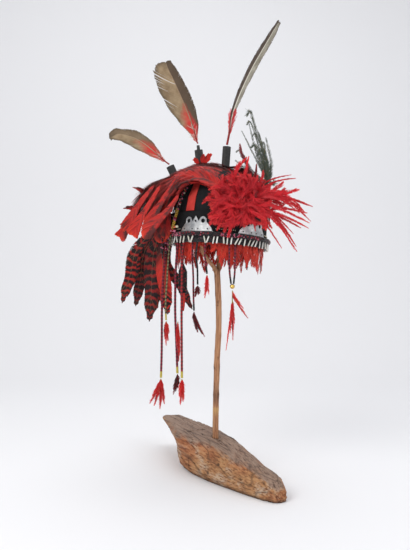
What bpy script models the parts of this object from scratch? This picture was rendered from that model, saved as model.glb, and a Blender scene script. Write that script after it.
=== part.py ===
# Feathered headdress on a driftwood stand.
# Metres, +Z up. The origin is on the floor under the foot of the stick.
# The wearer would face -Y, and +X is the right of someone who looks at the front.

import math
from collections import namedtuple

import bmesh
import bpy
from mathutils import Matrix, Vector

# Driving dimensions of the stand
BASE_LENGTH = 0.410
BASE_WIDTH = 0.106
BASE_HEIGHT = 0.070
BASE_TAIL_X = 0.108
BASE_TAIL_Y = -0.150
BASE_TURN = 120.4
POLE_RADIUS = 0.0056
POLE_SINK = 0.024
FORK_HEIGHT = 0.388
PRONG_RADIUS = 0.0040
CLEARANCE = 0.0003

# Driving dimensions of the cap
CAP_HALF_WIDTH = 0.0857
CAP_HALF_DEPTH = 0.0972
CAP_HEIGHT = 0.138
CAP_WALL = 0.0020
CAP_SHOULDER = 0.045
CAP_SEAT_X = 0.007
CAP_SEAT_Z = 0.4365
CAP_SEGMENTS = 28
CAP_ROLL = 4.0
CAP_PITCH = -2.0
BAND_HEIGHT = 0.048
BAND_WALL = 0.0025
STRIP_THICKNESS = 0.0010
STRIP_ANGLES = (-42.0, 48.0)
STRIP_SPREAD = 13.0

# Driving dimensions of the trim on the band
PLATE_LENGTH = 0.071
PLATE_THICKNESS = 0.0010
PLATE_STRIP_HEIGHT = 0.013
PLATE_FOOT = 0.0120
PLATE_COUNT = 5
PLATE_FIRST_ANGLE = -31.0
RING_OUTER = 0.0078
RING_HOLE = 0.0042
RING_SPACING = 0.0310
BUMP_HOLE = 0.0021
BUMP_HALF_WIDTH = 0.0068
BUMP_RISE = 0.0140
EDGE_ROLL_RADIUS = 0.0037
TUBE_COUNT = 50
TUBE_LENGTH = 0.0120
TUBE_RADIUS = 0.0016
THREAD_HEIGHT = 0.0016
FRINGE_LOCKS = 28
FRINGE_LENGTH = 0.045
FRINGE_THICKNESS = 0.0014
FRINGE_SETBACK = 0.0060
FRINGE_WAVE = 0.0009
PARTING_ANGLE = -20.0
PARTING_HALF = 19.0

# Driving dimensions of the upright feathers and their tubes
SOCKET_RADIUS = 0.0080
SOCKET_LENGTH = 0.046
SOCKET_BORE_DEPTH = 0.018
QUILL_RADIUS = 0.0017
VANE_THICKNESS = 0.0016
SPINDLE_RADIUS = 0.0032
SPINDLE_LENGTH = 0.027

# Driving dimensions of the feather masses
FEATHER_LIFT = 0.0006
CROWN_LIFT = 0.0018
CROWN_STRIPS = 7
CROWN_STRIP_WIDTH = 0.031
CROWN_THICKNESS = 0.0028
BACK_STRIPS = 7
BACK_THICKNESS = 0.0030
BACK_FRONT_LIMIT = 0.0172
ROSETTE_THICKNESS = 0.0022
ROSETTE_BUTTON = 0.0150
HERL_RADIUS = 0.0011
BARRED_THICKNESS = 0.0016

# Driving dimensions of the hanging trim
BRAID_DIAMETER = 0.0044
THREAD_DIAMETER = 0.0034
TASSEL_HEAD = 0.0030
TASSEL_LOCK = 0.0021
BEAD_RADIUS = 0.0036
BELL_RADIUS = 0.0042
TAB_ANGLE = -54.0
TAB_X = -0.0600
TAB_Y = -0.0612
TAB_FOOT = 0.345
TAB_WIDTH = 0.0160
TAB_THICKNESS = 0.0026
RIBBON_WIDTH = 0.0080
RIBBON_THICKNESS = 0.0012

BaseSection = namedtuple("BaseSection", "along left right foot_left foot_right top foot")
# along: share of the length from the low front end. left and right: share of the width each side
# of the line from end to end. top and foot: share of the height
BASE_SECTIONS = [
    BaseSection(0.000, -0.12, 0.02, -0.13, 0.02, 0.24, 0.06),
    BaseSection(0.045, -0.23, 0.08, -0.26, 0.08, 0.47, 0.0),
    BaseSection(0.150, -0.33, 0.11, -0.38, 0.12, 0.65, 0.0),
    BaseSection(0.270, -0.43, 0.16, -0.49, 0.17, 0.83, 0.0),
    BaseSection(0.370, -0.49, 0.21, -0.57, 0.21, 0.94, 0.0),
    BaseSection(0.490, -0.60, 0.28, -0.62, 0.25, 0.99, 0.0),
    BaseSection(0.600, -0.66, 0.34, -0.58, 0.27, 1.00, 0.0),
    BaseSection(0.670, -0.60, 0.33, -0.46, 0.22, 1.00, 0.09),
    BaseSection(0.740, -0.50, 0.29, -0.34, 0.16, 1.00, 0.32),
    BaseSection(0.850, -0.36, 0.24, -0.24, 0.12, 1.00, 0.56),
    BaseSection(0.960, -0.21, 0.22, -0.12, 0.13, 0.98, 0.75),
    BaseSection(1.000, -0.07, 0.12, -0.03, 0.08, 0.93, 0.83),
]

# Sideways drift of the stick, as a share of the fork's height, at shares of that height
PoleDrift = namedtuple("PoleDrift", "height drift thickness")
POLE_DRIFTS = [
    PoleDrift(0.00, 0.0000, 1.00),
    PoleDrift(0.20, 0.0010, 1.06),
    PoleDrift(0.34, 0.0040, 0.97),
    PoleDrift(0.50, 0.0075, 1.05),
    PoleDrift(0.68, 0.0165, 0.98),
    PoleDrift(0.82, 0.0150, 1.04),
    PoleDrift(1.00, 0.0075, 1.02),
]

# Upright feathers: the middle line in world metres and the vane's full width at each point
VanePoint = namedtuple("VanePoint", "x y z width")
LEFT_VANE = [
    VanePoint(-0.0980, 0.000, 0.6050, 0.010),
    VanePoint(-0.1090, 0.000, 0.6140, 0.034),
    VanePoint(-0.1240, 0.000, 0.6245, 0.042),
    VanePoint(-0.1430, 0.000, 0.6360, 0.040),
    VanePoint(-0.1660, 0.000, 0.6415, 0.034),
    VanePoint(-0.1850, 0.000, 0.6420, 0.026),
    VanePoint(-0.1990, 0.000, 0.6360, 0.006),
]
MIDDLE_VANE = [
    VanePoint(-0.0400, 0.000, 0.6340, 0.010),
    VanePoint(-0.0440, 0.000, 0.6500, 0.040),
    VanePoint(-0.0490, 0.000, 0.6720, 0.052),
    VanePoint(-0.0610, 0.000, 0.7050, 0.053),
    VanePoint(-0.0760, 0.000, 0.7400, 0.049),
    VanePoint(-0.0880, 0.000, 0.7650, 0.035),
    VanePoint(-0.0945, 0.000, 0.7800, 0.006),
]
RIGHT_VANE = [
    VanePoint(0.0290, 0.000, 0.6560, 0.008),
    VanePoint(0.0310, 0.000, 0.6780, 0.030),
    VanePoint(0.0370, 0.000, 0.7000, 0.040),
    VanePoint(0.0500, 0.000, 0.7300, 0.044),
    VanePoint(0.0720, 0.000, 0.7730, 0.043),
    VanePoint(0.0950, 0.000, 0.8130, 0.034),
    VanePoint(0.1190, 0.000, 0.8550, 0.006),
]

UprightFeather = namedtuple("UprightFeather", "name mouth lean turn vane")
# mouth: the tube's upper end, lean: degrees from upright towards -X, turn: degrees that the vane
# is turned from facing the front
UPRIGHTS = [
    UprightFeather("left", Vector((-0.0862, 0.0, 0.5835)), 25.0, 8.0, LEFT_VANE),
    UprightFeather("middle", Vector((-0.0322, 0.0, 0.6140)), 6.0, 0.0, MIDDLE_VANE),
    UprightFeather("right", Vector((0.0215, 0.0, 0.6205)), -4.0, 68.0, RIGHT_VANE),
]

# Swept crown feathers: matching points of the strip over the top and the strip over the front
SweepPoint = namedtuple("SweepPoint", "back_x back_y back_z front_x front_y front_z width")
CROWN_SWEEP = [
    SweepPoint(0.043, -0.001, 0.584, 0.032, -0.053, 0.549, 0.80),
    SweepPoint(0.002, -0.001, 0.600, -0.004, -0.060, 0.566, 1.00),
    SweepPoint(-0.045, -0.002, 0.594, -0.043, -0.063, 0.558, 1.05),
    SweepPoint(-0.090, -0.003, 0.566, -0.070, -0.062, 0.532, 1.05),
    SweepPoint(-0.131, -0.004, 0.527, -0.090, -0.058, 0.503, 1.00),
    SweepPoint(-0.159, -0.006, 0.489, -0.107, -0.050, 0.477, 0.90),
    SweepPoint(-0.178, -0.008, 0.452, -0.122, -0.043, 0.448, 0.40),
]

# Rosette hackles: direction in degrees counter-clockwise from the right, length in metres
Hackle = namedtuple("Hackle", "direction length droop")
HACKLES = [
    Hackle(157, 0.064, 0.0), Hackle(172, 0.055, 0.0), Hackle(188, 0.050, 0.004),
    Hackle(204, 0.052, 0.006), Hackle(226, 0.070, 0.008), Hackle(243, 0.052, 0.006),
    Hackle(260, 0.048, 0.004), Hackle(280, 0.046, 0.004), Hackle(298, 0.052, 0.004),
    Hackle(316, 0.072, 0.010), Hackle(328, 0.098, 0.020), Hackle(339, 0.108, 0.024),
    Hackle(350, 0.118, 0.018), Hackle(1, 0.112, 0.010), Hackle(14, 0.080, 0.004),
    Hackle(29, 0.092, 0.0), Hackle(46, 0.060, 0.0), Hackle(66, 0.072, 0.0),
    Hackle(88, 0.060, 0.0), Hackle(110, 0.060, 0.0), Hackle(134, 0.064, 0.0),
]

# Herl plume: tip places relative to its root, in metres
HerlTip = namedtuple("HerlTip", "x y z")
HERL_TIPS = [
    HerlTip(-0.012, 0.000, 0.128), HerlTip(-0.030, 0.004, 0.116), HerlTip(-0.004, -0.004, 0.098),
    HerlTip(0.004, 0.006, 0.078), HerlTip(0.024, 0.002, 0.034), HerlTip(-0.046, 0.004, 0.064),
]

# Barred hanging feathers: angle of the root on the band, tip in world metres, width in metres
BarredFeather = namedtuple("BarredFeather", "angle knee tip width")
BARRED = [
    BarredFeather(-93, Vector((-0.150, 0.030, 0.432)), Vector((-0.182, 0.034, 0.323)), 0.023),
    BarredFeather(-98, Vector((-0.138, 0.050, 0.428)), Vector((-0.158, 0.056, 0.316)), 0.024),
    BarredFeather(-88, Vector((-0.118, 0.012, 0.424)), Vector((-0.127, 0.016, 0.289)), 0.030),
    BarredFeather(-108, Vector((-0.113, 0.054, 0.424)), Vector((-0.118, 0.060, 0.308)), 0.024),
    BarredFeather(-84, Vector((-0.100, -0.012, 0.412)), Vector((-0.090, -0.016, 0.304)), 0.026),
    BarredFeather(-118, Vector((-0.096, 0.062, 0.410)), Vector((-0.046, 0.064, 0.309)), 0.021),
]

# Free strands: the angle where each leaves the band, whether it hangs outside the beaded roll or
# under the band, and its route below that in world metres, chosen by hand
Strand = namedtuple("Strand", "name diameter angle outside route")
STRANDS = [
    Strand("strand_long_left", BRAID_DIAMETER, -79.5, True, [
        (-0.0950, -0.0190, 0.405), (-0.0985, -0.0235, 0.360), (-0.1002, -0.0245, 0.310),
        (-0.1004, -0.0250, 0.265), (-0.1008, -0.0250, 0.225), (-0.1020, -0.0250, 0.186)]),
    Strand("strand_short_left", THREAD_DIAMETER, -68.5, True, [
        (-0.0875, -0.0400, 0.405), (-0.0900, -0.0400, 0.365), (-0.0925, -0.0395, 0.325),
        (-0.0915, -0.0395, 0.294)]),
    Strand("strand_centre_left", BRAID_DIAMETER, -60.0, False, [
        (-0.0715, -0.0530, 0.412), (-0.0735, -0.0550, 0.370), (-0.0740, -0.0560, 0.310),
        (-0.0718, -0.0560, 0.250), (-0.0700, -0.0560, 0.199)]),
    Strand("strand_centre_right", BRAID_DIAMETER, -47.0, False, [
        (-0.0610, -0.0680, 0.412), (-0.0615, -0.0685, 0.370), (-0.0620, -0.0680, 0.310),
        (-0.0618, -0.0670, 0.250), (-0.0615, -0.0660, 0.192)]),
    Strand("strand_front_left", THREAD_DIAMETER, -34.0, False, [
        (-0.0425, -0.0820, 0.412), (-0.0408, -0.0830, 0.375), (-0.0406, -0.0830, 0.345),
        (-0.0395, -0.0830, 0.314)]),
    Strand("strand_front_middle", THREAD_DIAMETER, -27.0, False, [
        (-0.0360, -0.0880, 0.412), (-0.0335, -0.0885, 0.390), (-0.0330, -0.0885, 0.360)]),
    Strand("strand_front_right", THREAD_DIAMETER, -17.0, False, [
        (-0.0205, -0.0940, 0.415), (-0.0185, -0.0940, 0.398), (-0.0165, -0.0940, 0.379)]),
    Strand("strand_bell_left", THREAD_DIAMETER, 10.0, False, [
        (0.0225, -0.0965, 0.412), (0.0228, -0.0965, 0.385), (0.0255, -0.0965, 0.3615)]),
    Strand("strand_bell_right", THREAD_DIAMETER, 17.0, False, [
        (0.0325, -0.0950, 0.412), (0.0322, -0.0955, 0.385), (0.0300, -0.0965, 0.3615)]),
]

Tassel = namedtuple("Tassel", "strand name locks length spread lean colour")
TASSELS = [
    Tassel("strand_long_left", "tassel_long_left", 6, 0.056, 0.012, -0.006, "scarlet"),
    Tassel("strand_short_left", "tassel_short_left", 4, 0.044, 0.003, 0.001, "scarlet"),
    Tassel("strand_centre_left", "tassel_centre_left", 4, 0.036, 0.005, -0.004, "wine"),
    Tassel("strand_centre_right", "tassel_centre_right", 5, 0.046, 0.005, 0.000, "scarlet"),
    Tassel("strand_front_left", "tassel_front_left", 4, 0.042, 0.006, 0.012, "wine"),
    Tassel("strand_front_middle", "tassel_front_middle", 4, 0.020, 0.003, -0.002, "wine"),
    Tassel("strand_front_right", "tassel_front_right", 4, 0.040, 0.004, 0.000, "scarlet"),
]
# Tufts tied beside the long strand in the middle
TUFT_TOP = Vector((-0.0690, -0.0612, 0.293))
TUFT_LENGTH = 0.048
BELL_LOCKS = [Vector((0.026, -0.004, -0.048)), Vector((-0.005, -0.003, -0.104)), Vector((0.009, -0.001, -0.088))]


def clear_scene():
    for item in list(bpy.data.objects):
        bpy.data.objects.remove(item, do_unlink=True)


def make_material(name, colour, roughness, metallic=0.0):
    material = bpy.data.materials.new(name)
    material.use_nodes = True
    shader = material.node_tree.nodes["Principled BSDF"]
    shader.inputs["Base Color"].default_value = (*colour, 1.0)
    shader.inputs["Roughness"].default_value = roughness
    shader.inputs["Metallic"].default_value = metallic
    return material


def make_object(name, verts, faces, material):
    mesh = bpy.data.meshes.new(name)
    mesh.from_pydata([tuple(v) for v in verts], [], faces)
    mesh.validate()
    built = bmesh.new()
    built.from_mesh(mesh)
    bmesh.ops.recalc_face_normals(built, faces=built.faces)
    built.to_mesh(mesh)
    built.free()
    mesh.shade_smooth()
    mesh.set_sharp_from_angle(angle=math.radians(40))
    if material:
        mesh.materials.append(material)
    item = bpy.data.objects.new(name, mesh)
    bpy.context.scene.collection.objects.link(item)
    return item


def loft(name, rings, material):
    """One closed body through rings of equal point count, with both ends filled."""
    count = len(rings[0])
    verts = [point for ring in rings for point in ring]
    faces = []
    for row in range(len(rings) - 1):
        for i in range(count):
            j = (i + 1) % count
            low = row * count
            high = low + count
            faces.append((low + i, low + j, high + j, high + i))
    faces.append(tuple(range(count)))
    last = (len(rings) - 1) * count
    faces.append(tuple(last + i for i in range(count)))
    return make_object(name, verts, faces, material)


def loop_loft(name, sections, material):
    """One closed ring-shaped body: every section is a closed polygon and the last meets the first."""
    count = len(sections[0])
    verts = [point for section in sections for point in section]
    faces = []
    for row in range(len(sections)):
        low = row * count
        high = ((row + 1) % len(sections)) * count
        for i in range(count):
            j = (i + 1) % count
            faces.append((low + i, low + j, high + j, high + i))
    return make_object(name, verts, faces, material)


def smooth_path(points, samples):
    """Points read from a smooth curve through the given points."""
    knots = [Vector(p) for p in points]
    knots = [2 * knots[0] - knots[1]] + knots + [2 * knots[-1] - knots[-2]]
    spans = len(knots) - 3
    path = []
    for i in range(samples):
        place = i / (samples - 1) * spans
        span = min(int(place), spans - 1)
        t = place - span
        a, b, c, d = knots[span:span + 4]
        path.append(0.5 * ((2 * b) + (c - a) * t + (2 * a - 5 * b + 4 * c - d) * t * t
                           + (3 * b - a - 3 * c + d) * t ** 3))
    return path


def path_tangents(path):
    tangents = []
    for i in range(len(path)):
        before = path[max(i - 1, 0)]
        after = path[min(i + 1, len(path) - 1)]
        tangents.append((after - before).normalized())
    return tangents


def tube(name, path, radii, sides, material):
    """A closed tube along a path, with a radius at each point."""
    tangents = path_tangents(path)
    side = tangents[0].orthogonal().normalized()
    rings = []
    for point, tangent, radius in zip(path, tangents, radii):
        side = (side - side.dot(tangent) * tangent).normalized()
        other = tangent.cross(side)
        rings.append([point + radius * (math.cos(a) * side + math.sin(a) * other)
                      for a in (2 * math.pi * i / sides for i in range(sides))])
    return loft(name, rings, material)


def vane(name, path, widths, thickness, face, cup, material):
    """A flat feather along a path: six points round, thicker along the quill, cupped by a share."""
    tangents = path_tangents(path)
    rings = []
    for point, tangent, width in zip(path, tangents, widths):
        side = face.cross(tangent).normalized()
        normal = tangent.cross(side).normalized()
        half = width / 2
        thick = min(thickness, width) / 2
        bow = -cup * width
        rings.append([
            point - half * side + bow * normal,
            point - 0.42 * half * side + thick * normal + 0.35 * bow * normal,
            point + 0.42 * half * side + thick * normal + 0.35 * bow * normal,
            point + half * side + bow * normal,
            point + 0.42 * half * side - thick * normal + 0.35 * bow * normal,
            point - 0.42 * half * side - thick * normal + 0.35 * bow * normal,
        ])
    return loft(name, rings, material)


def combine(target, other, operation, solver="EXACT"):
    """Applies one Boolean to the target and removes the other object."""
    modifier = target.modifiers.new("combine", "BOOLEAN")
    modifier.operation = operation
    modifier.solver = solver
    modifier.object = other
    graph = bpy.context.evaluated_depsgraph_get()
    mesh = bpy.data.meshes.new_from_object(target.evaluated_get(graph))
    target.modifiers.clear()
    target.data = mesh
    bpy.data.objects.remove(other, do_unlink=True)
    return target


def fuse(name, items):
    """Joins overlapping closed bodies into one. Nearly flush feathers need the MANIFOLD solver."""
    body = items[0]
    body.name = name
    body.data.name = name
    for item in items[1:]:
        combine(body, item, "UNION", "MANIFOLD")
    return body


def drop_crumbs(body):
    """Keeps only the largest connected piece after a cut."""
    built = bmesh.new()
    built.from_mesh(body.data)
    groups = []
    waiting = set(built.verts)
    while waiting:
        group = [waiting.pop()]
        for vertex in group:
            for edge in vertex.link_edges:
                other = edge.other_vert(vertex)
                if other in waiting:
                    waiting.remove(other)
                    group.append(other)
        groups.append(group)
    groups.sort(key=len)
    for group in groups[:-1]:
        bmesh.ops.delete(built, geom=group, context="VERTS")
    built.to_mesh(body.data)
    built.free()
    return body


def head_matrix():
    seat = Matrix.Translation((CAP_SEAT_X, 0.0, CAP_SEAT_Z))
    roll = Matrix.Rotation(math.radians(CAP_ROLL), 4, "Y")
    pitch = Matrix.Rotation(math.radians(CAP_PITCH), 4, "X")
    return seat @ roll @ pitch


HEAD = head_matrix()
# Roundness of the dome, and the rises at which the cap and its cutters have their rings of points
SHOULDER_POWER = 2.2
DOME_RISES = (0, 17, 34, 51, 68)
TOP_RISE = 89


def oval_point(angle, outward, height, share=1.0):
    """World point at an angle from the front, so far out from the cap's own oval."""
    turn = math.radians(angle)
    x = (CAP_HALF_WIDTH * share + outward) * math.sin(turn)
    y = -(CAP_HALF_DEPTH * share + outward) * math.cos(turn)
    return HEAD @ Vector((x, y, height))


def dome_point(angle, rise, lift):
    """World point over the dome. rise runs from 0 at the shoulder to 90 at the top."""
    tilt = math.radians(rise)
    power = 2 / SHOULDER_POWER
    share = math.cos(tilt) ** power
    height = CAP_SHOULDER + (CAP_HEIGHT - CAP_SHOULDER) * math.sin(tilt) ** power
    return oval_point(angle, lift * math.cos(tilt), height + lift * math.sin(tilt), share)


def dome_cutter(lift):
    """The cap's outer form grown by a lift, as one closed body for cutting what lies on it."""
    count = CAP_SEGMENTS
    rings = [[oval_point(360 * i / count, lift, -0.080) for i in range(count)]]
    for rise in (*DOME_RISES, TOP_RISE):
        rings.append([dome_point(360 * i / count, rise, lift) for i in range(count)])
    return loft("cutter", rings, None)


def band_cutter():
    """The band with its plates and beaded roll, grown by the clearance, for cutting what lies on it."""
    count = CAP_SEGMENTS * 2
    plates = BAND_WALL + PLATE_THICKNESS + 3 * CLEARANCE
    roll = edge_outward() + EDGE_ROLL_RADIUS + CLEARANCE
    step = PLATE_FOOT + CLEARANCE
    rings = [[oval_point(360 * i / count, outward, height) for i in range(count)]
             for outward, height in ((roll, -0.080), (roll, step), (plates, step + 0.002),
                                     (plates, BAND_HEIGHT + CLEARANCE), (0.0, BAND_HEIGHT + 0.004))]
    return loft("cutter", rings, None)


def cap_shell(material):
    count = CAP_SEGMENTS
    verts = []
    for inset in (0.0, CAP_WALL):
        verts += [oval_point(360 * i / count, -inset, CLEARANCE) for i in range(count)]
        for rise in DOME_RISES:
            verts += [dome_point(360 * i / count, rise, -inset) for i in range(count)]
        verts.append(HEAD @ Vector((0, 0, CAP_HEIGHT - inset)))
    rows = len(DOME_RISES) + 1
    side = rows * count + 1
    faces = []
    for shell in (0, 1):
        start = shell * side
        for row in range(rows - 1):
            for i in range(count):
                j = (i + 1) % count
                low = start + row * count
                faces.append((low + i, low + j, low + count + j, low + count + i))
        top = start + (rows - 1) * count
        faces += [(top + i, top + (i + 1) % count, start + rows * count) for i in range(count)]
    faces += [(i, (i + 1) % count, side + (i + 1) % count, side + i) for i in range(count)]
    return make_object("cap_shell", verts, faces, material)


def headband(material):
    count = CAP_SEGMENTS
    inner = CLEARANCE
    outer = inner + BAND_WALL
    sections = []
    for i in range(count):
        angle = 360 * i / count
        sections.append([oval_point(angle, inner, 0.0), oval_point(angle, outer, 0.0),
                         oval_point(angle, outer, BAND_HEIGHT), oval_point(angle, inner, BAND_HEIGHT)])
    return loop_loft("headband", sections, material)


def cap_strips(material):
    """Cloth strips from the top of the band up over the cap."""
    items = []
    for number, centre in enumerate(STRIP_ANGLES):
        rings = []
        for rise, narrowing in zip((2, *DOME_RISES[1:4]), (1.0, 0.97, 0.90, 0.78)):
            half = STRIP_SPREAD / 2 * narrowing
            inner = CLEARANCE
            outer = CLEARANCE + STRIP_THICKNESS
            ring = [dome_point(centre + half * k, rise, inner) for k in (-1, 0, 1)]
            ring += [dome_point(centre + half * k, rise, outer) for k in (1, 0, -1)]
            rings.append(ring)
        items.append(loft(f"cap_strip_{number + 1}", rings, material))
    return items


def plate_outline():
    """The plate's outline, flat: a low strip with two round lobes and a pointed one between."""
    half = PLATE_LENGTH / 2
    strip = PLATE_STRIP_HEIGHT
    lobe = RING_SPACING / 2
    points = [(-half, 0.0), (half, 0.0), (half - 0.004, strip * 0.55)]
    for step in range(5):
        turn = math.radians(-20 + 200 * step / 4)
        points.append((lobe + RING_OUTER * math.cos(turn), strip + RING_OUTER * 0.7 + RING_OUTER * math.sin(turn)))
    points.append((BUMP_HALF_WIDTH, strip + BUMP_RISE * 0.30))
    points.append((0.0, strip + BUMP_RISE))
    points.append((-BUMP_HALF_WIDTH, strip + BUMP_RISE * 0.30))
    for step in range(5):
        turn = math.radians(200 * step / 4)
        points.append((-lobe + RING_OUTER * math.cos(turn), strip + RING_OUTER * 0.7 + RING_OUTER * math.sin(turn)))
    points.append((-half + 0.004, strip * 0.55))
    return points


def prism(name, outline, low, high):
    """A flat outline in X and Z, given depth along Y."""
    rings = [[Vector((x, y, z)) for x, z in outline] for y in (low, high)]
    return loft(name, rings, None)


def circle(centre_x, centre_z, radius, sides):
    return [(centre_x + radius * math.cos(2 * math.pi * i / sides),
             centre_z + radius * math.sin(2 * math.pi * i / sides)) for i in range(sides)]


def silver_plates(material):
    """Pierced plates, cut flat and then bent round the band."""
    lobe = RING_SPACING / 2
    ring_height = PLATE_STRIP_HEIGHT + RING_OUTER * 0.7
    holes = [(lobe, ring_height, RING_HOLE, 8), (-lobe, ring_height, RING_HOLE, 8),
             (0.0, PLATE_STRIP_HEIGHT + BUMP_RISE * 0.36, BUMP_HOLE, 6)]
    radius = (CAP_HALF_WIDTH + CAP_HALF_DEPTH) / 2 + BAND_WALL
    items = []
    for number in range(PLATE_COUNT):
        columns = 6
        rings = []
        for column in range(columns + 1):
            x = -PLATE_LENGTH / 2 * 1.05 + PLATE_LENGTH * 1.05 * column / columns
            top = PLATE_STRIP_HEIGHT + BUMP_RISE + RING_OUTER
            rings.append([Vector((x, 0.0, -0.001)), Vector((x, PLATE_THICKNESS, -0.001)),
                          Vector((x, PLATE_THICKNESS, top)), Vector((x, 0.0, top))])
        plate = loft(f"silver_plate_{number + 1}", rings, material)
        combine(plate, prism("outline", plate_outline(), -0.001, PLATE_THICKNESS + 0.001), "INTERSECT")
        for x, z, hole, sides in holes:
            combine(plate, prism("hole", circle(x, z, hole, sides), -0.001, PLATE_THICKNESS + 0.001), "DIFFERENCE")
        centre = PLATE_FIRST_ANGLE + 360 * number / PLATE_COUNT
        for vertex in plate.data.vertices:
            angle = centre + math.degrees(vertex.co.x / radius)
            outward = 2 * CLEARANCE + BAND_WALL + vertex.co.y
            vertex.co = oval_point(angle, outward, PLATE_FOOT + vertex.co.z)
        plate.data.update()
        recalculate(plate)
        items.append(plate)
    return items


def recalculate(item):
    built = bmesh.new()
    built.from_mesh(item.data)
    bmesh.ops.recalc_face_normals(built, faces=built.faces)
    built.to_mesh(item.data)
    built.free()


def edge_outward():
    """How far out of the cap's oval the middle of the beaded roll lies."""
    return 2 * CLEARANCE + BAND_WALL + EDGE_ROLL_RADIUS


def roll_face():
    """How far out of the cap's oval the outer face of the six-sided beaded roll lies."""
    return edge_outward() + EDGE_ROLL_RADIUS * math.cos(math.pi / 6)


def beaded_edge(material):
    count = CAP_SEGMENTS
    middle = PLATE_FOOT - EDGE_ROLL_RADIUS - 2 * CLEARANCE
    sections = []
    for i in range(count):
        angle = 360 * i / count
        sections.append([
            oval_point(angle, edge_outward() + EDGE_ROLL_RADIUS * math.cos(a), middle + EDGE_ROLL_RADIUS * math.sin(a))
            for a in (math.pi / 6 + 2 * math.pi * k / 6 for k in range(6))])
    return loop_loft("beaded_edge", sections, material)


def tube_row_top():
    """Height of the top of the thread that the bone tubes hang on."""
    return PLATE_FOOT - 2 * EDGE_ROLL_RADIUS - 3 * CLEARANCE


def bone_tube_row(material):
    """Bone tubes side by side on one thread under the beaded roll, some of them slanting in pairs."""
    slants = (0.0, 0.0, 0.35, -0.35, 0.0, 0.12, -0.1, 0.0, 0.3, -0.3, 0.25, 0.0, 0.2)
    outward = edge_outward()
    top = tube_row_top()
    half_turn = math.degrees(TUBE_RADIUS / CAP_HALF_DEPTH)
    verts = []
    faces = []
    for number in range(TUBE_COUNT):
        centre = 360 * number / TUBE_COUNT
        lean = slants[number % len(slants)] * 360 / TUBE_COUNT
        for height, share in ((top, 0.0), (top - THREAD_HEIGHT, 0.1), (top - TUBE_LENGTH, 1.0)):
            for side, out in ((-1, -1), (1, -1), (1, 1), (-1, 1)):
                angle = centre + side * half_turn + lean * share
                verts.append(oval_point(angle, outward + out * TUBE_RADIUS, height))
    for number in range(TUBE_COUNT):
        low = number * 12
        nxt = (number + 1) % TUBE_COUNT * 12
        faces.append((low, low + 1, low + 2, low + 3))
        faces.append((low + 8, low + 9, low + 10, low + 11))
        faces += [(low + 4 + k, low + 4 + (k + 1) % 4, low + 8 + (k + 1) % 4, low + 8 + k) for k in range(4)]
        faces.append((low, low + 1, low + 5, low + 4))
        faces.append((low + 3, low + 2, low + 6, low + 7))
        faces.append((low + 1, nxt, nxt + 4, low + 5))
        faces.append((low + 2, nxt + 3, nxt + 7, low + 6))
        faces.append((low + 1, nxt, nxt + 3, low + 2))
        faces.append((low + 5, nxt + 4, nxt + 7, low + 6))
    return make_object("bone_tube_row", verts, faces, material)


def parting(angle):
    """Share of the fringe's length that is left at an angle: short at the front parting."""
    away = abs((angle - PARTING_ANGLE + 180) % 360 - 180)
    return 0.22 if away < PARTING_HALF else 1.0


def feather_fringe(material):
    """A thin wall of feather locks that hangs inside the tubes, with a jagged lower edge."""
    count = FRINGE_LOCKS * 2
    lengths = (1.0, 0.84, 0.95, 0.88, 1.04, 0.80, 0.92)
    sections = []
    for i in range(count):
        angle = 360 * i / count
        tip = i % 2 == 0
        length = FRINGE_LENGTH * parting(angle) * (lengths[(i // 2) % len(lengths)] if tip else 0.70)
        wave = FRINGE_WAVE if tip else -FRINGE_WAVE
        low = -FRINGE_SETBACK + wave
        half = FRINGE_THICKNESS / 2
        foot = -CLEARANCE - length
        sections.append([
            oval_point(angle, -CAP_WALL - half, 0.0), oval_point(angle, low - half * 0.5, foot),
            oval_point(angle, low + half * 0.5, foot), oval_point(angle, -CAP_WALL + half, 0.0)])
    return loop_loft("feather_fringe", sections, material)


def base_point(row, across, height):
    """World point on the driftwood: a section of the table, a distance across and a height."""
    turn = math.radians(BASE_TURN)
    along = row.along * BASE_LENGTH
    x = BASE_TAIL_X + along * math.cos(turn) + across * math.sin(turn)
    y = BASE_TAIL_Y + along * math.sin(turn) - across * math.cos(turn)
    return Vector((x, y, height))


def driftwood_base(material):
    rings = []
    for row in BASE_SECTIONS:
        left, right = row.left * BASE_WIDTH, row.right * BASE_WIDTH
        foot_left, foot_right = row.foot_left * BASE_WIDTH, row.foot_right * BASE_WIDTH
        top, foot = row.top * BASE_HEIGHT, row.foot * BASE_HEIGHT
        tall = top - foot
        span = right - left
        rings.append([
            base_point(row, foot_left + 0.10 * span, foot),
            base_point(row, foot_left, foot + 0.16 * tall),
            base_point(row, (foot_left + left) / 2 - 0.01 * span, foot + 0.52 * tall),
            base_point(row, left, top - 0.14 * tall),
            base_point(row, left + 0.10 * span, top - 0.02 * tall),
            base_point(row, left + 0.40 * span, top),
            base_point(row, left + 0.72 * span, top - 0.01 * tall),
            base_point(row, right - 0.08 * span, top - 0.08 * tall),
            base_point(row, right, top - 0.32 * tall),
            base_point(row, (foot_right + right) / 2, foot + 0.40 * tall),
            base_point(row, foot_right, foot + 0.14 * tall),
            base_point(row, foot_right - 0.10 * span, foot),
        ])
    return loft("driftwood_base", rings, material)


def pole_path():
    foot = BASE_HEIGHT - POLE_SINK
    rise = FORK_HEIGHT - foot
    return [Vector((row.drift * FORK_HEIGHT, 0.0, foot + rise * row.height)) for row in POLE_DRIFTS]


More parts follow.
